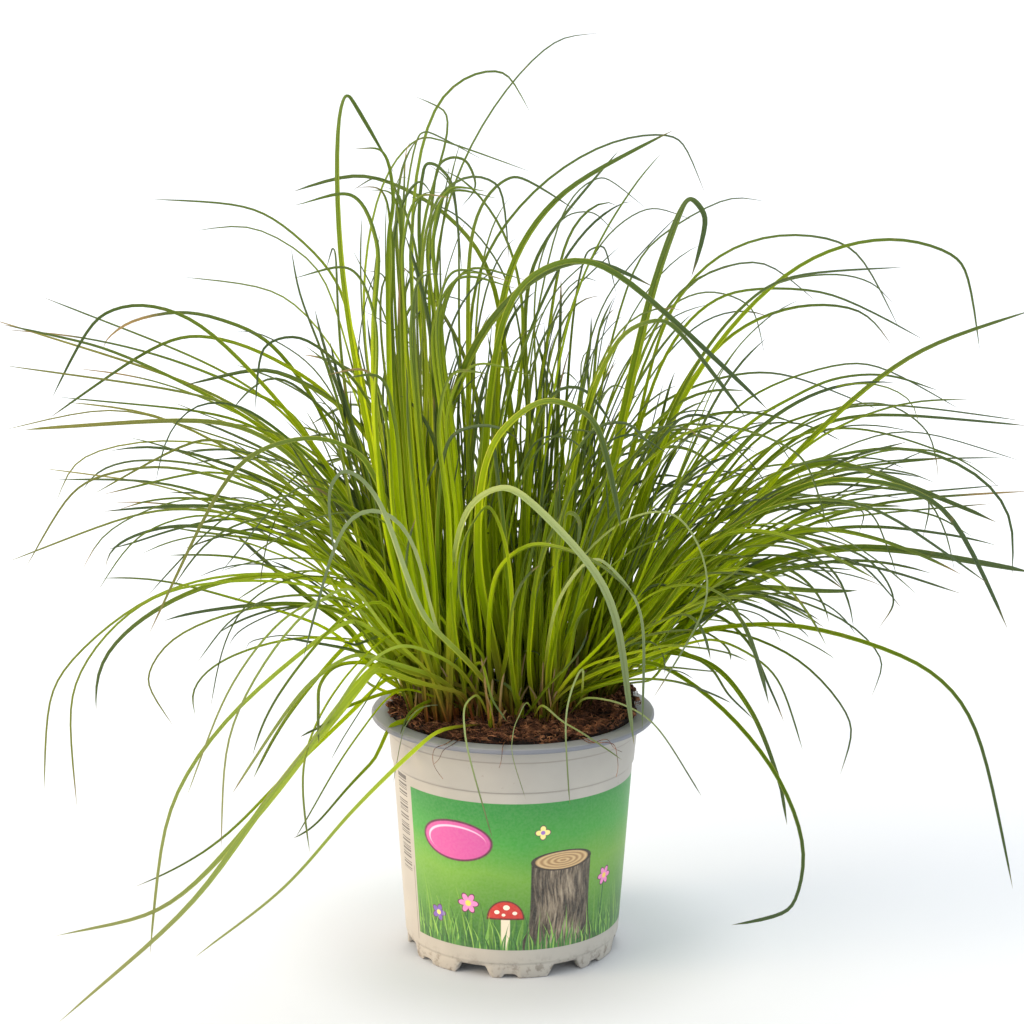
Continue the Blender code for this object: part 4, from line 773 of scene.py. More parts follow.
def betweenBlades(form, masters):
    # Route = foot + spin * scale * ((1 - mix) * one leaf + mix * a neighbour, cut at keep, less their foot)
    # + curl over the last four tenths + a wave that grows with the length. Leaves that reach out of the
    # model's size, or droop too low beside the pot, are drawn again.
    form = {**usual, **form}
    pool = [m for m in masters if m["node"].startswith(form["from"])]
    middles = np.array([m["route"][len(m["route"]) // 2] for m in pool])
    tips = np.array([m["route"][-1] for m in pool])
    t = np.linspace(0, 1, bladeForm["rows"])
    blades, tries = [], 0
    while len(blades) < form["count"] and tries < form["count"] * 20:
        tries += 1
        one = int(rng.integers(len(pool)))
        far = np.linalg.norm(middles - middles[one], axis=1) + 0.5 * np.linalg.norm(tips - tips[one], axis=1)
        first, second = pool[one], pool[int(rng.choice(np.argsort(far)[1:5]))]
        mix = rng.uniform(0.2, 0.8)
        route = first["route"] * (1 - mix) + second["route"] * mix
        wish = route[0]
        same = 1.0 if np.dot(first["across"][3], second["across"][3]) >= 0 else -1.0
        across = unit(first["across"] * (1 - mix) + second["across"] * mix * same)
        where = np.linspace(0, rng.uniform(*form["keep"]), len(t))
        packed = readAt(where, shareRun(route), np.hstack([route, across]))
        away, across = packed[:, :3] - packed[0, :3], unit(packed[:, 3:])
        if "swing" in form:
            turn = rng.uniform(*map(math.radians, form["swing"])) - math.atan2(away[-1, 1], away[-1, 0])
        else:
            turn = math.radians(rng.normal(0, form["turn"]))
        heading, tilt = rng.uniform(0, 2 * math.pi), math.radians(rng.normal(0, form["tilt"]))
        axis = Vector((math.cos(heading), math.sin(heading), 0.0))
        spin = np.array(Matrix.Rotation(tilt, 3, axis) @ Matrix.Rotation(turn, 3, "Z"))
        away, across = away @ spin.T * rng.uniform(*form["scale"]), across @ spin.T
        curl = np.clip((t - 0.6) / 0.4, 0, 1)[:, None] ** 2 * rng.normal(0, form["curl"], 3)
        wave = np.sin(t * rng.uniform(4, 9) + rng.uniform(0, 6))[:, None] * t[:, None]
        wave = wave * rng.normal(0, form["wave"], 3)
        wish = wish + rng.normal(0, form["foot"], 3)
        route = plantedSpot(wish[0], wish[1] - form["front"]) + away + curl + wave
        outside = route[np.hypot(route[:, 0], route[:, 1]) > 0.07]
        if not insideBox(route) or (outside[:, 2] < form["lowest"]).any():
            continue
        route = clearOfPot(route)
        twist = rng.normal(0, form["twist"][0]) + rng.normal(0, form["twist"][1]) * t
        ways = unit(np.gradient(route, axis=0))
        across = squareTo(ways, across)
        across = unit(across * np.cos(twist)[:, None] + np.cross(ways, across) * np.sin(twist)[:, None])
        width = widthAlong(shareRun(route), rng.uniform(*form["width"]))
        blades.append({"route": route, "across": across, "width": width, **leafTone(*form["tone"])})
    return blades


# Short dry sheaths round the feet of the shoots
sheaths = {
    "count": 150,
    "half": (0.048, 0.037),  # of the oval that they stand in
    "length": (0.010, 0.036),
    "width": (0.0010, 0.0026),
    "tone": (0.2, 1),
    "dry": [0.4, 0.8, 1.1],
}


def sheathBlades():
    # A short arc from the soil: its lean is 0.25 * its place's share of the oval's reach + a random part + up
    # to 0.5 * the share of the length ^ 2
    blades = []
    rows = bladeForm["rows"]
    t = np.linspace(0, 1, rows)
    for _ in range(sheaths["count"]):
        angle, reach = rng.uniform(0, 2 * math.pi), math.sqrt(rng.uniform(0, 1))
        x = planted["centre"][0] + sheaths["half"][0] * reach * math.cos(angle)
        foot = plantedSpot(x, planted["centre"][1] + sheaths["half"][1] * reach * math.sin(angle))
        lean = 0.25 * reach + rng.normal(0, 0.22) + 0.5 * t**2 * rng.uniform(0, 1)
        heading = angle + rng.normal(0, 0.8)
        length = rng.uniform(*sheaths["length"])
        side, up = np.sin(lean), np.cos(lean)
        ways = np.column_stack([side * math.cos(heading), side * math.sin(heading), up])
        route = foot + np.vstack([[0, 0, 0], np.cumsum(ways[:-1], axis=0)]) * length / (rows - 1)
        across = np.tile([-math.sin(heading), math.cos(heading), 0.0], (rows, 1))
        width = widthAlong(t, rng.uniform(*sheaths["width"]), 0.9)
        look = {"tone": float(rng.uniform(*sheaths["tone"])), "dry": float(rng.choice(sheaths["dry"]))}
        blades.append({"route": route, "across": across, "width": width, **look})
    return blades


shoots = shootPlaces()
tuftNames = sorted(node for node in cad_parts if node.startswith("tuft"))
leafNames = sorted(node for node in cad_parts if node.startswith("leaf"))
tuftTones = {
    "tuft_left": (0.3, 1.0),
    "tuft_middle_left": (0.5, 1.2),
    "tuft_middle": (0.3, 1.2),
    "tuft_right": (0.3, 1.2),
    # painted shade: darker tones for the back tufts
    "tuft_back_left": (0.1, 0.8),
    "tuft_back_right": (0.1, 0.8),
}
leafTones = {  # the first that a name starts with counts
    # painted light: bright tones for the lowest leaves
    "leaf_low": (0.8, 1.4),
    "leaf_right_01": (0.8, 1.1),
    # painted shade: darker tones for the leaves on the right
    "leaf_right": (0.1, 0.85),
    "leaf": (0.2, 1.1),
}
materials = {
    "leaf_bright": leafMaterial("sedge_bright", 0.0),
    "leaf_green": leafMaterial("sedge_green", -0.05),
    "leaf_pale": leafMaterial("sedge_pale", -0.1, 0.75),
}
# painted light: sunlit copies of the leaf material for the lowest and the left leaves, paler, with sunlit
# ends
sunlit = {
    "leaf_low": leafMaterial("sedge_sunlit", 0.0, 0.35, leafLook["sunlitLowEnds"]),
    "leaf_left": leafMaterial("sedge_left", 0.0, 0.1, leafLook["sunlitLeftEnds"]),
}
crowns = {}
masters = []
for name in tuftNames:
    places, _ = looseMesh(name)
    crowns[name] = places[places[:, 2] < places[:, 2].min() + 0.001].mean(axis=0)
    for rows in cadBlades(name):
        masters.append({"node": name, **bladeFromCad(name, rows, crowns[name]), **leafTone(*tuftTones[name])})
for name in leafNames:
    span = next(span for start, span in leafTones.items() if name.startswith(start))
    for rows in cadBlades(name):
        masters.append({"node": name, **bladeFromCad(name, rows), **leafTone(*span)})
print("routes read from the CAD leaves", len(masters))

finer = sheafBlades() + sheathBlades()
finer += [{**drawnBlade(*leaf), **leafTone(*drawnTones)} for leaf in drawnLeaves]
for form in between.values():
    finer += betweenBlades(form, masters)
for leaf in finer:  # each goes with the nearest crown
    foot = leaf["route"][0][:2]
    leaf["node"] = min(tuftNames, key=lambda name: np.hypot(*(crowns[name][:2] - foot)))
for name in tuftNames:
    blades = [leaf for leaf in masters + finer if leaf["node"] == name]
    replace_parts(bladeMesh("sedge_" + name, blades, materials["leaf_bright"]), name)
    print(name, "leaves", len(blades))
for name in leafNames:
    slot = "leaf_pale" if name.startswith("leaf_front") else "leaf_green"
    material = sunlit.get(name[:-3], materials[slot])
    blades = [leaf for leaf in masters if leaf["node"] == name]
    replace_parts(bladeMesh("blade_" + name[5:], blades, material), name)
print("leaves made")


# Pot
def notchRise(angle):
    # How far the foot's lower edge stands above the ground: notches with sloping ends, and a shallow step
    # after each. Both go by the distance from their middle along the foot, in millimetres.
    spacing = 2 * math.pi / pot["notches"]
    turn = angle - pot["firstNotch"]
    notch, step = (
        np.abs((turn - start + spacing / 2) % spacing - spacing / 2) * pot["foot"] * 1000
        for start in (0.0, pot["stepTurn"])
    )
    deep = 4.8 * np.clip((8.2 - notch) / 2.6, 0, 1)
    shallow = 1.7 * np.clip((3.6 - step) / 1.2, 0, 1)
    return np.maximum(deep, shallow) / 1000


def buildPot(material):
    # A profile of radius, height and share of the notches' rise, turned about the upright: up the inside,
    # over the rim, down the outside and under the foot
    p = pot
    height, rim, collar, collarFoot = p["height"], p["rim"], p["collar"], p["collarFoot"]
    shoulder, shoulderRadius, floor, wall = p["shoulder"], p["shoulderRadius"], p["floor"], p["wall"]
    foot, footHeight = p["foot"], p["footHeight"]
    inCollar, inFoot, rimLow = collar - wall, foot - wall, height - p["rimThick"]
    profile = np.array([
        (inFoot - 0.0021, floor + 0.0016, 0),
        (inFoot, floor + 0.0030, 0),
        (shoulderRadius - wall, shoulder, 0),
        (inCollar, collarFoot, 0),
        (inCollar, height - 0.0008, 0),
        (inCollar + 0.0002, height - 0.0002, 0),
        (inCollar + 0.0008, height, 0),
        (rim - 0.0009, height, 0),
        (rim - 0.0003, height - 0.0002, 0),
        (rim, height - 0.0007, 0),
        (rim, rimLow + 0.0005, 0),
        (rim - 0.0002, rimLow + 0.0001, 0),
        (rim - 0.0008, rimLow, 0),
        (collar + 0.0009, rimLow, 0),
        (collar + 0.0002, rimLow - 0.0003, 0),
        (collar, rimLow - 0.0010, 0),
        (collar - 0.0001, collarFoot + 0.0006, 0),
        (collar - 0.0003, collarFoot + 0.0002, 0),
        (collar - 0.0006, collarFoot, 0),
        (collar - 0.0005, collarFoot - 0.0006, 0),
        (shoulderRadius + 0.0001, shoulder + 0.0006, 0),
        (shoulderRadius - 0.0001, shoulder + 0.0001, 0),
        (shoulderRadius - 0.0006, shoulder - 0.0002, 0),
        (shoulderRadius - 0.0006, shoulder - 0.0012, 0),
        (foot + 0.0009, footHeight + 0.0008, 0),
        (foot + 0.0008, footHeight + 0.0003, 0),
        (foot + 0.0003, footHeight - 0.0001, 0),
        (foot + 0.0003, footHeight - 0.0009, 0),
        (foot - 0.0001, 0.0004, 1),
        (foot - 0.0004, 0.0, 1),
        (foot - 0.0028, 0.0, 1),
        (foot - 0.0033, 0.0004, 1),
        (foot - 0.0034, floor, 0),
        (foot - 0.0100, floor, 0),
    ])
    fine = [profile[0]]
    for a, b in zip(profile, profile[1:]):
        parts = max(1, int(np.hypot(b[0] - a[0], b[1] - a[1]) / p["longest"]))
        fine += [a + (b - a) * k / parts for k in range(1, parts + 1)]
    angle = np.linspace(0, 2 * math.pi, p["steps"], endpoint=False)
    radius, up, cut = np.array(fine).T[:, :, None]
    grid = np.stack([radius * np.cos(angle), radius * np.sin(angle), up + cut * notchRise(angle)], axis=-1)
    return closedGrid("nursery_pot", grid[:, ::-1], material)


band = {
    "low": 0.0127,
    "high": 0.0778,
    "left": math.radians(-57.0),  # round the pot from its front, right is plus
    "turn": math.radians(284.0),
    "radius": 48.0,  # in millimetres, for distances round the pot
    "soft": 0.25,
}
pink, violet, cream = tint(226, 130, 188), tint(112, 86, 170), tint(236, 226, 210)
motifs = {  # all in millimetres, round the pot from the print's left edge and up from its lower edge
    "meadow": [
        (0.0, tint(30, 80, 32)), (0.25, tint(72, 128, 40)), (0.5, tint(104, 156, 50)),
        (0.75, tint(58, 146, 50)), (1.0, tint(36, 128, 48)),
    ],
    # cell width, height, half width, lean, seed, two inks, strength
    "grassBehind": [
        (2.6, 34.0, 0.8, 14.0, 3.0, (tint(128, 170, 62), tint(84, 136, 46)), 0.6),
        (1.7, 25.0, 0.7, 9.0, 41.0, (tint(34, 86, 34), tint(58, 118, 44)), 0.8),
    ],
    "grassInFront": [
        (2.3, 19.0, 0.6, 10.0, 77.0, (tint(146, 190, 84), tint(104, 160, 66)), 0.85),
        (1.2, 13.0, 0.55, 7.0, 113.0, (tint(26, 74, 32), tint(70, 128, 52)), 1.0),
    ],
    "stump": (69.0, 39.0),
    "bark": [
        (0.36, tint(34, 28, 24)), (0.46, tint(86, 74, 62)),
        (0.55, tint(126, 112, 94)), (0.68, tint(170, 156, 134)),
    ],
    "toadstool": 45.0,
    "spots": [(-3.6, 17.2, 1.1), (0.4, 19.3, 1.4), (3.9, 16.8, 1.0), (-0.8, 16.0, 0.8)],
    "plaque": (24.0, 47.0),
    # middle, size, petals, heart, number of petals, foot of the stalk
    "daisies": [
        (29.0, 20.0, 4.4, pink, tint(232, 200, 84), 6, 2.0),
        (14.0, 13.0, 3.6, violet, tint(226, 206, 110), 5, 2.0),
        (92.0, 27.0, 4.0, pink, tint(232, 200, 84), 6, 2.0),
        (60.0, 52.0, 3.0, tint(236, 226, 140), tint(150, 110, 190), 4, 51.0),
        (128.0, 22.0, 3.6, violet, tint(232, 214, 120), 5, 2.0),
        (170.0, 26.0, 4.2, pink, tint(236, 206, 92), 6, 2.0),
    ],
}


def potMaterial():
    # The white plastic's coats, with painted shade on and under the flange, and a printed band over them.
    # Each motif of the band is a mask from its own distances in u, round the pot, and v, upwards.
    sheet = Sheet("printed_pot")
    where, x, y, z = sheet.place()
    whole = 2 * math.pi * band["radius"]
    tall, wide = (band["high"] - band["low"]) * 1000.0, band["turn"] * band["radius"]
    u = ((x.angleOver(y * -1.0) - band["left"]) / (2 * math.pi)).math("FRACT") * whole
    v = (z - band["low"]) * 1000.0
    haze = sheet.noise(where, 60.0, 2.0)
    fine = sheet.noise(where, 900.0)
    foot = z.step(0.012, 0.001) * sheet.noise(where, 260.0, 5.0, 0.7).step(0.47, 0.64)
    white = sheet.layers(
        sheet.blend(haze.step(0.3, 0.7), tint(166, 163, 156), tint(175, 172, 164)),
        (z.step(0.070, 0.098) * 0.6, tint(150, 148, 142)),  # in the shade of the flange
        (z.step(0.1008, 0.1014), tint(112, 116, 125)),  # painted shade: the flange's edge, in the leaves' shade
        (z.step(0.1031, 0.1034), tint(140, 143, 148)),  # painted shade: its top, in the leaves' shade
        (sheet.noise(where, 420.0, 5.0, 0.65).step(0.66, 0.74) * 0.4, tint(112, 98, 80)),  # dirt
        (foot * 0.7, tint(104, 94, 82)),
    )

    def grass(cell, height, thick, lean, seed, inks, strength):
        # One blade in each cell round the pot: middle = cell's middle + lean * rise^2, half width =
        # thick * (1 - rise). A blade may lean into the cell on either side.
        coats = []
        for step in (-1.0, 0.0, 1.0):
            number = (u / cell).math("FLOOR") + step
            dice = {"W": number + seed}
            chance = sheet.node("ShaderNodeTexWhiteNoise", {"noise_dimensions": "1D"}, dice, output="Color")
            a, b, c = sheet.parts(chance)
            rise = v / (a * (0.6 * height) + 0.4 * height)
            middle = (number + b) * cell + rise * rise * (c - 0.5) * lean
            body = (abs(u - middle) - (1.0 - rise) * thick).step(0.12, -0.12)
            coats.append((body * strength, sheet.blend(c, *inks)))
        return coats

    def oval(cu, cv, ru, rv, soft=0.06):  # 1 where (distance across / ru)^2 + (distance up / rv)^2 is under 1
        reach = ((u - cu) / ru) ** 2.0 + ((v - cv) / rv) ** 2.0
        return reach.step(1.0 + soft, 1.0 - soft)

    def daisy(cu, cv, size, petal, heart, count, low):
        # The petals reach to size * (0.55 + 0.5 * |cos(count * angle / 2)|) from the heart
        du, dv = u - cu, v - cv
        stalk = (abs(du - dv * 0.08) - 0.35).step(0.15, -0.15) * v.step(cv, cv - 0.5) * v.step(low - 0.5, low)
        far = (du * du + dv * dv) ** 0.5 / size
        past = far - (abs((dv.angleOver(du) * (count * 0.5)).math("COSINE")) * 0.5 + 0.55)
        return (
            (stalk, tint(34, 92, 38)),
            (past.step(0.10, 0.02), tint(84, 30, 70)),
            (past.step(-0.02, -0.12), petal),
            (far.step(0.34, 0.26), heart),
        )

    # an old tree stump, with its cut top and rings
    su, sv = motifs["stump"]
    side = u - su
    half = (v * -0.2).math("EXPONENT") * 8.0 + 13.5
    ridge = sheet.noise(sheet.vector(u * 0.8 + (v * 0.25).math("SINE") * 0.5, v * 0.1, 1.0), 0.9, 4.0, 0.65)
    bark = sheet.blend((side / half) ** 2.0 * 0.75, sheet.ramp(ridge, motifs["bark"]), tint(30, 26, 22))
    reach = ((side / 13.7) ** 2.0 + ((v - sv) / 4.4) ** 2.0) ** 0.5
    wood = sheet.blend((reach * 30.0).math("SINE") * 0.5 + 0.5, tint(204, 174, 126), tint(154, 120, 80))
    wood = sheet.blend(reach.step(0.84, 0.9), wood, tint(52, 42, 34))

    tu = motifs["toadstool"]
    pu, pv = motifs["plaque"]
    shine = oval(pu, pv, 13.2, 6.6) * (1.0 - oval(pu + 0.5, pv - 0.6, 13.0, 6.4))
    flow = sheet.noise(where, 26.0, 2.0)
    picture = sheet.layers(
        sheet.ramp(v / tall + (flow - 0.5) * 0.3, motifs["meadow"]),
        *(coat for tuft in motifs["grassBehind"] for coat in grass(*tuft)),
        ((abs(side) - half).step(0.3, -0.3) * v.step(sv + 0.4, sv), bark),
        (reach.step(1.02, 0.98), wood),
        ((abs(u - tu) - 1.9).step(0.2, -0.2) * v.step(15.4, 15.0), tint(226, 214, 190)),  # the toadstool
        (oval(tu, 14.0, 8.0, 8.4) * v.step(13.6, 14.0), tint(90, 20, 24)),
        (oval(tu, 14.2, 7.3, 7.6) * v.step(14.3, 14.7), tint(190, 44, 38)),
        *((oval(tu + du, dv, size, size * 0.8), cream) for du, dv, size in motifs["spots"]),
        (oval(pu, pv, 16.0, 9.0), tint(88, 22, 60)),  # a blank oval plaque
        (oval(pu, pv, 15.0, 8.1), tint(196, 78, 150)),
        (shine * 0.8, tint(240, 206, 230)),
        *(coat for flower in motifs["daisies"] for coat in daisy(*flower)),
        *(coat for tuft in motifs["grassInFront"] for coat in grass(*tuft)),
        (fine.step(0.2, 0.8) * 0.05, tint(220, 225, 210)),
    )
    # a plain ruled strip and a fine upright line left of the print, and painted shade along the two ridge
    # lines of the pot
    soft = band["soft"]
    inBand = v.step(0.0, soft) * v.step(tall, tall - soft) * u.step(0.0, soft) * u.step(wide, wide - soft)
    gap = u * -1.0 + whole
    bars = (v * 4.4 + (v * 1.9).math("SINE") * 1.6 + (v * 0.7).math("SINE") * 2.0).math("SINE")
    strip = bars.step(0.0, 0.25) * gap.step(3.0, 3.3) * gap.step(11.6, 11.3)
    strip = strip * v.step(26.0, 26.4) * v.step(69.0, 68.6)
    edge = gap.step(0.9, 1.1) * gap.step(1.5, 1.3) * v.step(-4.0, -3.0) * v.step(30.0, 29.0)
    # painted shade: darker lines along the pot's two ridges
    lines = z.step(0.0952, 0.0954) * z.step(0.0962, 0.0958) + z.step(0.0818, 0.0821) * z.step(0.0828, 0.0825)
    colour = sheet.layers(
        white,
        (inBand, picture),
        (strip * 0.8, tint(52, 48, 44)),
        (edge * 0.7, tint(80, 76, 72)),
        # painted shade along the ridges
        (lines * 0.45, tint(120, 112, 104)),
    )
    rough = 0.42 + haze * 0.15 + foot * 0.3 - inBand * 0.06
    return sheet.finish(colour, rough, sheet.bump(fine, 0.00004, 0.4))


potPiece = buildPot(potMaterial())
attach(potPiece, "root")
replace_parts(potPiece, "pot")
print("pot made")


# Soil
peat = [(0.36, tint(6, 4, 3)), (0.49, tint(26, 15, 10)), (0.59, tint(64, 37, 24)), (0.70, tint(120, 78, 52))]
husk = [
    (0.3, tint(44, 25, 17)), (0.5, tint(92, 56, 36)),
    (0.62, tint(140, 94, 64)), (0.76, tint(188, 146, 106)),
]


def soilMaterial():  # lumps and grains of noise, from black peat to light brown
    sheet = Sheet("compost")
    where, *_ = sheet.place()
    lumps = sheet.noise(where, 180.0, 5.0, 0.7)
    grains = sheet.noise(where, 900.0, 4.0, 0.7)
    colour = sheet.ramp(lumps * 0.6 + grains * 0.4, peat)
    return sheet.finish(colour, 0.92, sheet.bump(grains + lumps, 0.0016, 1.0), shine=0.25)


def fibreMaterial():
    sheet = Sheet("coir")
    where, *_ = sheet.place()
    return sheet.finish(sheet.ramp(sheet.noise(where, 240.0, 2.0), husk), 0.85, shine=0.3)


def fullSoil(x, y):  # the loose top layer: fullest at the pot's side, and over the flange beyond it
    far = np.hypot(x, y)
    raised = soilHeight(x, y) + 0.0010 + 0.0014 * np.clip((far - 0.030) / 0.020, 0, 1)
    beyond = far > potInside - 0.0004
    return np.where(beyond, np.maximum(raised, pot["height"] + 0.0002), raised)


plug = {
    "rings": 60,
    "steps": 220,
    "gap": 0.0009,  # to the pot's inside
    "waves": ((300.0, 0.0012), (700.0, 0.0010), (1500.0, 0.0006)),  # radians a metre, and height
}


def buildSoil(material):
    # Three sections up the pot's inside, then the top: the loose layer's height + depth * sin * sin of x and
    # y at three scales, each bent by a slower sine of the other
    steps, inset = plug["steps"], pot["wall"] + plug["gap"]
    top = potInside - 0.0006
    share = np.sqrt(np.linspace(0, 1, plug["rings"]))[::-1]
    angle = np.linspace(0, 2 * math.pi, steps, endpoint=False)
    radius = np.maximum(share * top, 0.0004)[:, None]
    x, y = radius * np.cos(angle), radius * np.sin(angle)
    height = fullSoil(x, y)
    for scale, depth in plug["waves"]:
        a, b, c = rng.uniform(0, 6, 3)
        across = np.sin(scale * x + a + 1.7 * np.sin(scale * 0.6 * y))
        height = height + depth * across * np.sin(scale * y + b + 1.3 * np.sin(scale * 0.5 * x + c))
    radius = np.array([[pot["foot"] - inset], [pot["shoulderRadius"] - inset], [top]])
    up = np.array([[pot["floor"] + 0.0019], [pot["shoulder"]], [0.0985]]) + 0 * angle
    sides = np.stack([radius * np.cos(angle), radius * np.sin(angle), up], axis=-1)
    grid = np.concatenate([sides, np.stack([x, y, height], axis=-1)], axis=0)
    return closedGrid("compost_plug", grid, material)


def tubeMesh(name, routes, radii, material, sides):
    # Thin round strands: each row is a ring of the given radius about the route
    count, rows = routes.shape[:2]
    ways = unit(np.gradient(routes, axis=1))
    up = np.broadcast_to(np.array([0.3, 0.2, 1.0]), ways.shape)
    one = unit(np.cross(ways, up))
    two = np.cross(ways, one)
    turn = np.linspace(0, 2 * math.pi, sides, endpoint=False)
    ring = one[:, :, None] * np.cos(turn)[:, None] + two[:, :, None] * np.sin(turn)[:, None]
    places = routes[:, :, None] + ring * radii[:, :, None, None]
    first, k = (np.arange(count) * rows * sides)[:, None], np.arange(sides)[None]
    caps = (first + k[:, ::-1]).tolist() + (first + (rows - 1) * sides + k).tolist()
    piece = makePiece(name, places, ringFaces(count, rows * sides, rows, sides, inTurn) + caps, material)
    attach(piece, "root")
    return piece


fibres = {
    "count": 3400,
    "rows": 8,
    "sides": 3,
    "length": (0.004, 0.014),
    "radius": (0.00009, 0.00026),
    "curl": 2.6,  # radians from end to end
    "arch": (-0.0004, 0.0026),
    "over": (0.0, 0.0010),
    "spill": 0.0036,  # over the flange at the left and right
}


def buildFibres(material):
    # Each fibre's bearing turns evenly along it by its curl, and it stands over the soil by its arch * the
    # cosine of its run. What reaches past the pot's side is pulled in.
    form = fibres
    count, rows = form["count"], form["rows"]
    angle = rng.uniform(0, 2 * math.pi, count)
    reach = np.sqrt(rng.uniform(0, 1, count)) * (potInside - 0.001)
    x, y = reach * np.cos(angle), reach * np.sin(angle)
    heading = rng.uniform(0, 2 * math.pi, count)
    length = rng.uniform(*form["length"], count)
    t = np.linspace(-0.5, 0.5, rows)
    bearing = heading[:, None] + rng.normal(0, form["curl"], count)[:, None] * t
    px = x[:, None] + np.cumsum(np.cos(bearing), axis=1) * (length / rows)[:, None]
    py = y[:, None] + np.cumsum(np.sin(bearing), axis=1) * (length / rows)[:, None]
    far = np.hypot(px, py)
    spill = np.abs(np.cos(angle)) * form["spill"] * rng.uniform(0, 1, count)
    limit = (potInside - 0.0012 + spill)[:, None]
    pull = np.where(far > limit, limit / np.maximum(far, 1e-6), 1.0)
    px, py = px * pull, py * pull
    arch = rng.uniform(*form["arch"], count)[:, None] * np.cos(t * math.pi)[None]
    pz = fullSoil(px, py) + rng.uniform(*form["over"], count)[:, None] + arch
    radii = rng.uniform(*form["radius"], count)[:, None] * (1 - 0.6 * np.abs(t * 2)[None] ** 3)
    piece = tubeMesh("soil_fibres", np.stack([px, py, pz], axis=-1), radii, material, form["sides"])
    return piece


crumbs = {
    "count": 520,
    "rings": 5,
    "steps": 7,
    "size": (0.0006, 0.0021),
    "squash": ([0.6, 0.5, 0.4], [1.3, 1.0, 0.8]),  # least and greatest share of the size along each axis
    "rough": (0.72, 1.25),
    "over": (0.0004, 0.0014),
}


def buildCrumbs(material):
    # Bits of bark and peat: balls squashed by random shares along three axes, each corner pushed in or out by
    # a random share, then turned about the upright and laid on the soil
    form = crumbs
    count, rings, steps = form["count"], form["rings"], form["steps"]
    angle = rng.uniform(0, 2 * math.pi, count)
    limit = potInside - 0.0030 + 0.0046 * np.abs(np.cos(angle))
    reach = np.sqrt(rng.uniform(0, 1, count)) * limit
    x, y = reach * np.cos(angle), reach * np.sin(angle)
    size = rng.uniform(*form["size"], (count, 1)) * rng.uniform(*form["squash"], (count, 3))
    down = np.linspace(0.16, 0.84, rings)[:, None] * math.pi
    turn = np.linspace(0, 2 * math.pi, steps, endpoint=False)
    wide = np.sin(down)
    ball = np.stack([wide * np.cos(turn), wide * np.sin(turn), np.cos(down) + 0 * turn], axis=-1)
    rough = rng.uniform(*form["rough"], (count, rings, steps, 1))
    poles = np.tile([[0, 0, 0.95], [0, 0, -0.95]], (count, 1, 1))
    places = np.concatenate([(ball * rough).reshape(count, -1, 3), poles], axis=1) * size[:, None]
    heading = rng.uniform(0, 2 * math.pi, count)[:, None]
    px = places[..., 0] * np.cos(heading) - places[..., 1] * np.sin(heading) + x[:, None]
    py = places[..., 0] * np.sin(heading) + places[..., 1] * np.cos(heading) + y[:, None]
    pz = places[..., 2] + (fullSoil(x, y) + rng.uniform(*form["over"], count))[:, None]
    each, low = rings * steps + 2, (rings - 1) * steps
    first, k = (np.arange(count) * each)[:, None], np.arange(steps)[None]
    after = (k + 1) % steps
    tops = np.stack([first + each - 2 + 0 * k, first + k, first + after], axis=-1)
    feet = np.stack([first + each - 1 + 0 * k, first + low + after, first + low + k], axis=-1)
    faces = ringFaces(count, each, rings, steps, turnedOver)
    faces += tops.reshape(-1, 3).tolist() + feet.reshape(-1, 3).tolist()
    piece = makePiece("soil_crumbs", np.stack([px, py, pz], axis=-1), faces, material, smooth=False)
    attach(piece, "root")


# Dry roots that hang over the rim, drawn over the front view from the rim down
roots = [
    [(434, 750), (433, 762), (437, 771), (443, 779)],
    [(443, 751), (439, 759), (434, 764)],
    [(614, 745), (617, 756), (618, 768), (616, 777)],
    [(502, 754), (501, 762), (499, 768)],
    [(608, 740), (614, 748), (622, 752)],
]
rootForm = {"rows": 28, "samples": 160, "sides": 5, "radius": 0.00019, "thins": (1.2, 0.45), "depth": -0.0615}


def buildRoots(material):
    # A route out of the soil, over the collar and the flange's edge, then down the drawn line just outside it
    form = rootForm
    routes = []
    for seen in roots:
        hanging = toSpace([(x, y, form["depth"]) for x, y in seen])
        out = unit(hanging[0, :2])
        far = np.linalg.norm(hanging[:, :2], axis=1)
        hanging[:, :2] *= np.maximum(1.0, (pot["rim"] + 0.0004) / far)[:, None]
        edge = np.array([*(out * (pot["rim"] - 0.0004)), pot["height"] + 0.0003])
        inside = np.array([*(out * (pot["collar"] - 0.0010)), pot["height"] + 0.0004])
        low = np.array([*(out * (pot["collar"] - 0.0065)), pot["soilLevel"] + 0.0018])
        start = low + rng.normal(0, 0.004, 3) * (1, 1, 0) - np.array([*(out * 0.004), 0.0])
        dense = curveThrough(np.vstack([start, low, inside, edge, hanging]), form["samples"])
        routes.append(evenRows(dense, form["rows"]))
    radii = form["radius"] * np.linspace(*form["thins"], form["rows"])[None] * np.ones((len(routes), 1))
    tubeMesh("dry_roots", np.array(routes), radii, material, form["sides"])


soilPiece = buildSoil(soilMaterial())
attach(soilPiece, "root")
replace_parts(soilPiece, "soil")
coir = fibreMaterial()
buildFibres(coir)
buildCrumbs(coir)
buildRoots(coir)
print("soil made")


# Stage, lights and camera
stage = {"wide": 9.0, "front": -3.0, "back": 2.2, "radius": 1.2, "tall": 4.5, "under": 0.0002, "parts": 12}
lamps = {  # place, what it points at, size, power, colour
    "window_left": ((-1.7, -0.7, 1.1), (0, 0, 0.24), 1.8, 36.0, (1.0, 0.88, 0.70)),
    "lamp_low_left": ((-1.4, -0.35, 0.20), (0, 0, 0.05), 0.5, 12.0, (1.0, 0.64, 0.32)),
    "fill_low_right": ((1.3, -0.9, 0.25), (0, 0, 0.06), 0.7, 4.5, (0.90, 0.95, 1.0)),
    "sky_back": ((0.4, 1.2, 1.7), (0, 0, 0.2), 1.4, 12.0, (1.0, 0.98, 0.92)),
}


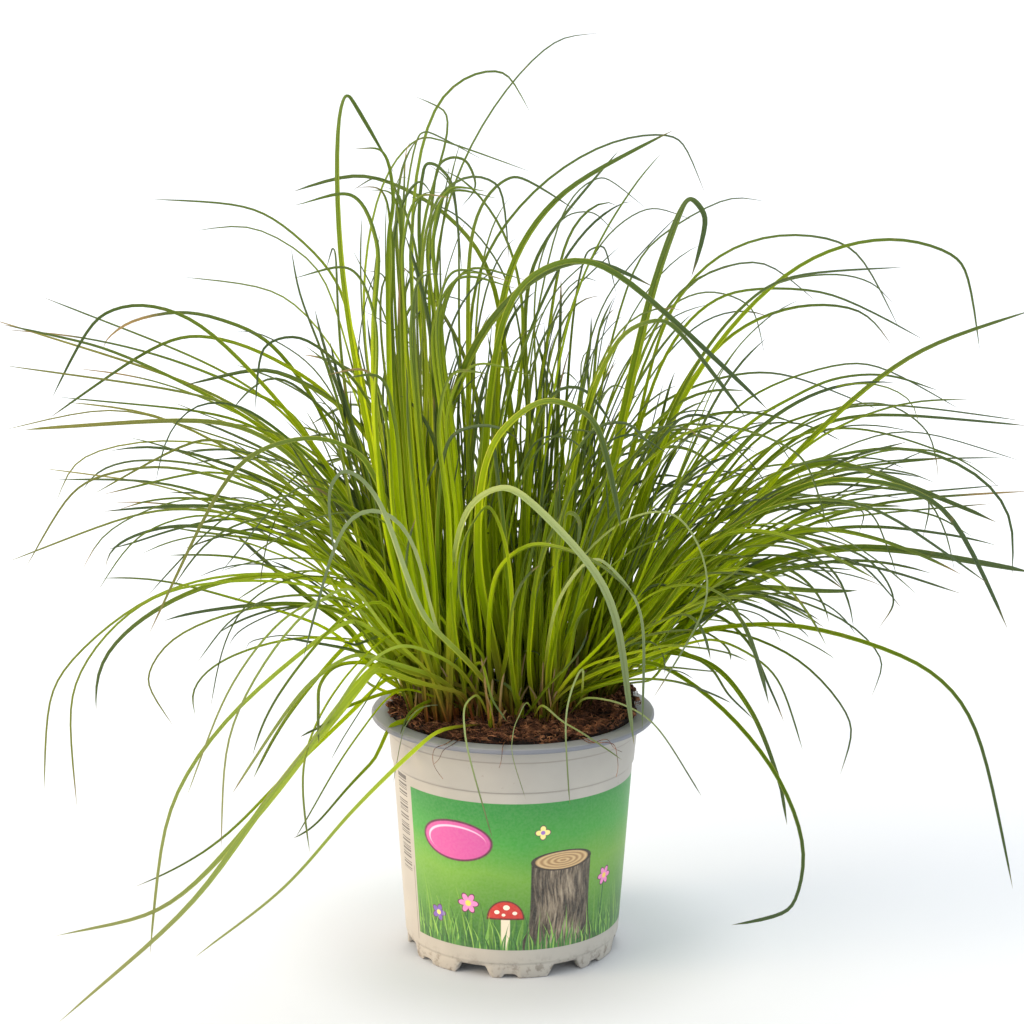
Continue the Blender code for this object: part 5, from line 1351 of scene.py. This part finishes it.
def floorMaterial():  # paper that glows a little brighter the further it is from the pot: painted light, and a painted shadow close to the pot
    sheet = Sheet("studio_paper_painted_glow")
    _, x, y, _ = sheet.place()
    away = (x * x + y * y) ** 0.5
    near = away.step(0.055, 0.115)  # painted shadow: no glow close to the pot
    # the paper glows though it is no lamp: painted light
    glow = sheet.blend(near, (0.0, 0.0, 0.0, 1.0), (0.15, 0.15, 0.15, 1.0))
    glow = sheet.blend(away.step(0.12, 1.5), glow, (0.45, 0.45, 0.46, 1.0))
    values = {"Base Color": (0.59, 0.62, 0.66, 1.0), "Roughness": 0.9}
    values |= {"Emission Color": glow, "Emission Strength": 1.0}
    surface = sheet.node("ShaderNodeBsdfPrincipled", None, values)
    sheet.node("ShaderNodeOutputMaterial", None, {"Surface": surface})
    return sheet.material


def buildStage():  # a paper sweep: flat floor, then a quarter circle up into a wall behind
    form, under, radius = stage, stage["under"], stage["radius"]
    rows = [(form["front"], -under), (0.0, -under), (form["back"], -under)]
    for k in range(1, form["parts"] + 1):
        a = math.pi / 2 * k / form["parts"]
        rows.append((form["back"] + radius * math.sin(a), radius * (1 - math.cos(a)) - under))
    rows.append((form["back"] + radius, form["tall"]))
    places = [(x, y, z) for y, z in rows for x in (-form["wide"] / 2, form["wide"] / 2)]
    faces = [(2 * k, 2 * k + 1, 2 * k + 3, 2 * k + 2) for k in range(len(rows) - 1)]
    floor = makePiece("paper_sweep", places, faces, floorMaterial(), smooth=False)


buildStage()
for name, (place, aim, size, power, colour) in lamps.items():
    light = bpy.data.lights.new(name, "AREA")
    light.shape = "DISK"
    light.size, light.energy, light.color = size, power, colour
    lamp = bpy.data.objects.new(name, light)
    lamp.location = place
    lamp.rotation_euler = (Vector(aim) - Vector(place)).to_track_quat("-Z", "Y").to_euler()
    bpy.context.scene.collection.objects.link(lamp)
world = bpy.data.worlds.new("soft_room")
world.use_nodes = True
background = world.node_tree.nodes["Background"].inputs
background[0].default_value = (1.0, 1.0, 1.0, 1.0)
background[1].default_value = 1.0
bpy.context.scene.world = world
bpy.context.scene.view_settings.view_transform = "Standard"

camera = bpy.data.cameras.new("photo_view")
camera.sensor_width = eye["sensor"]
camera.lens = eye["focus"] / eye["picture"] * eye["sensor"]
camera.shift_x = -(eye["centre"][0] - eye["picture"] / 2) / eye["picture"]
viewer = bpy.data.objects.new("photo_view", camera)
turned = Matrix.Rotation(math.pi / 2 - eye["tilt"], 4, "X") @ Matrix.Rotation(eye["roll"], 4, "Z")
viewer.matrix_world = Matrix.Translation(eye["place"]) @ turned
bpy.context.scene.collection.objects.link(viewer)
bpy.context.scene.camera = viewer
print("stage, lights and camera made")
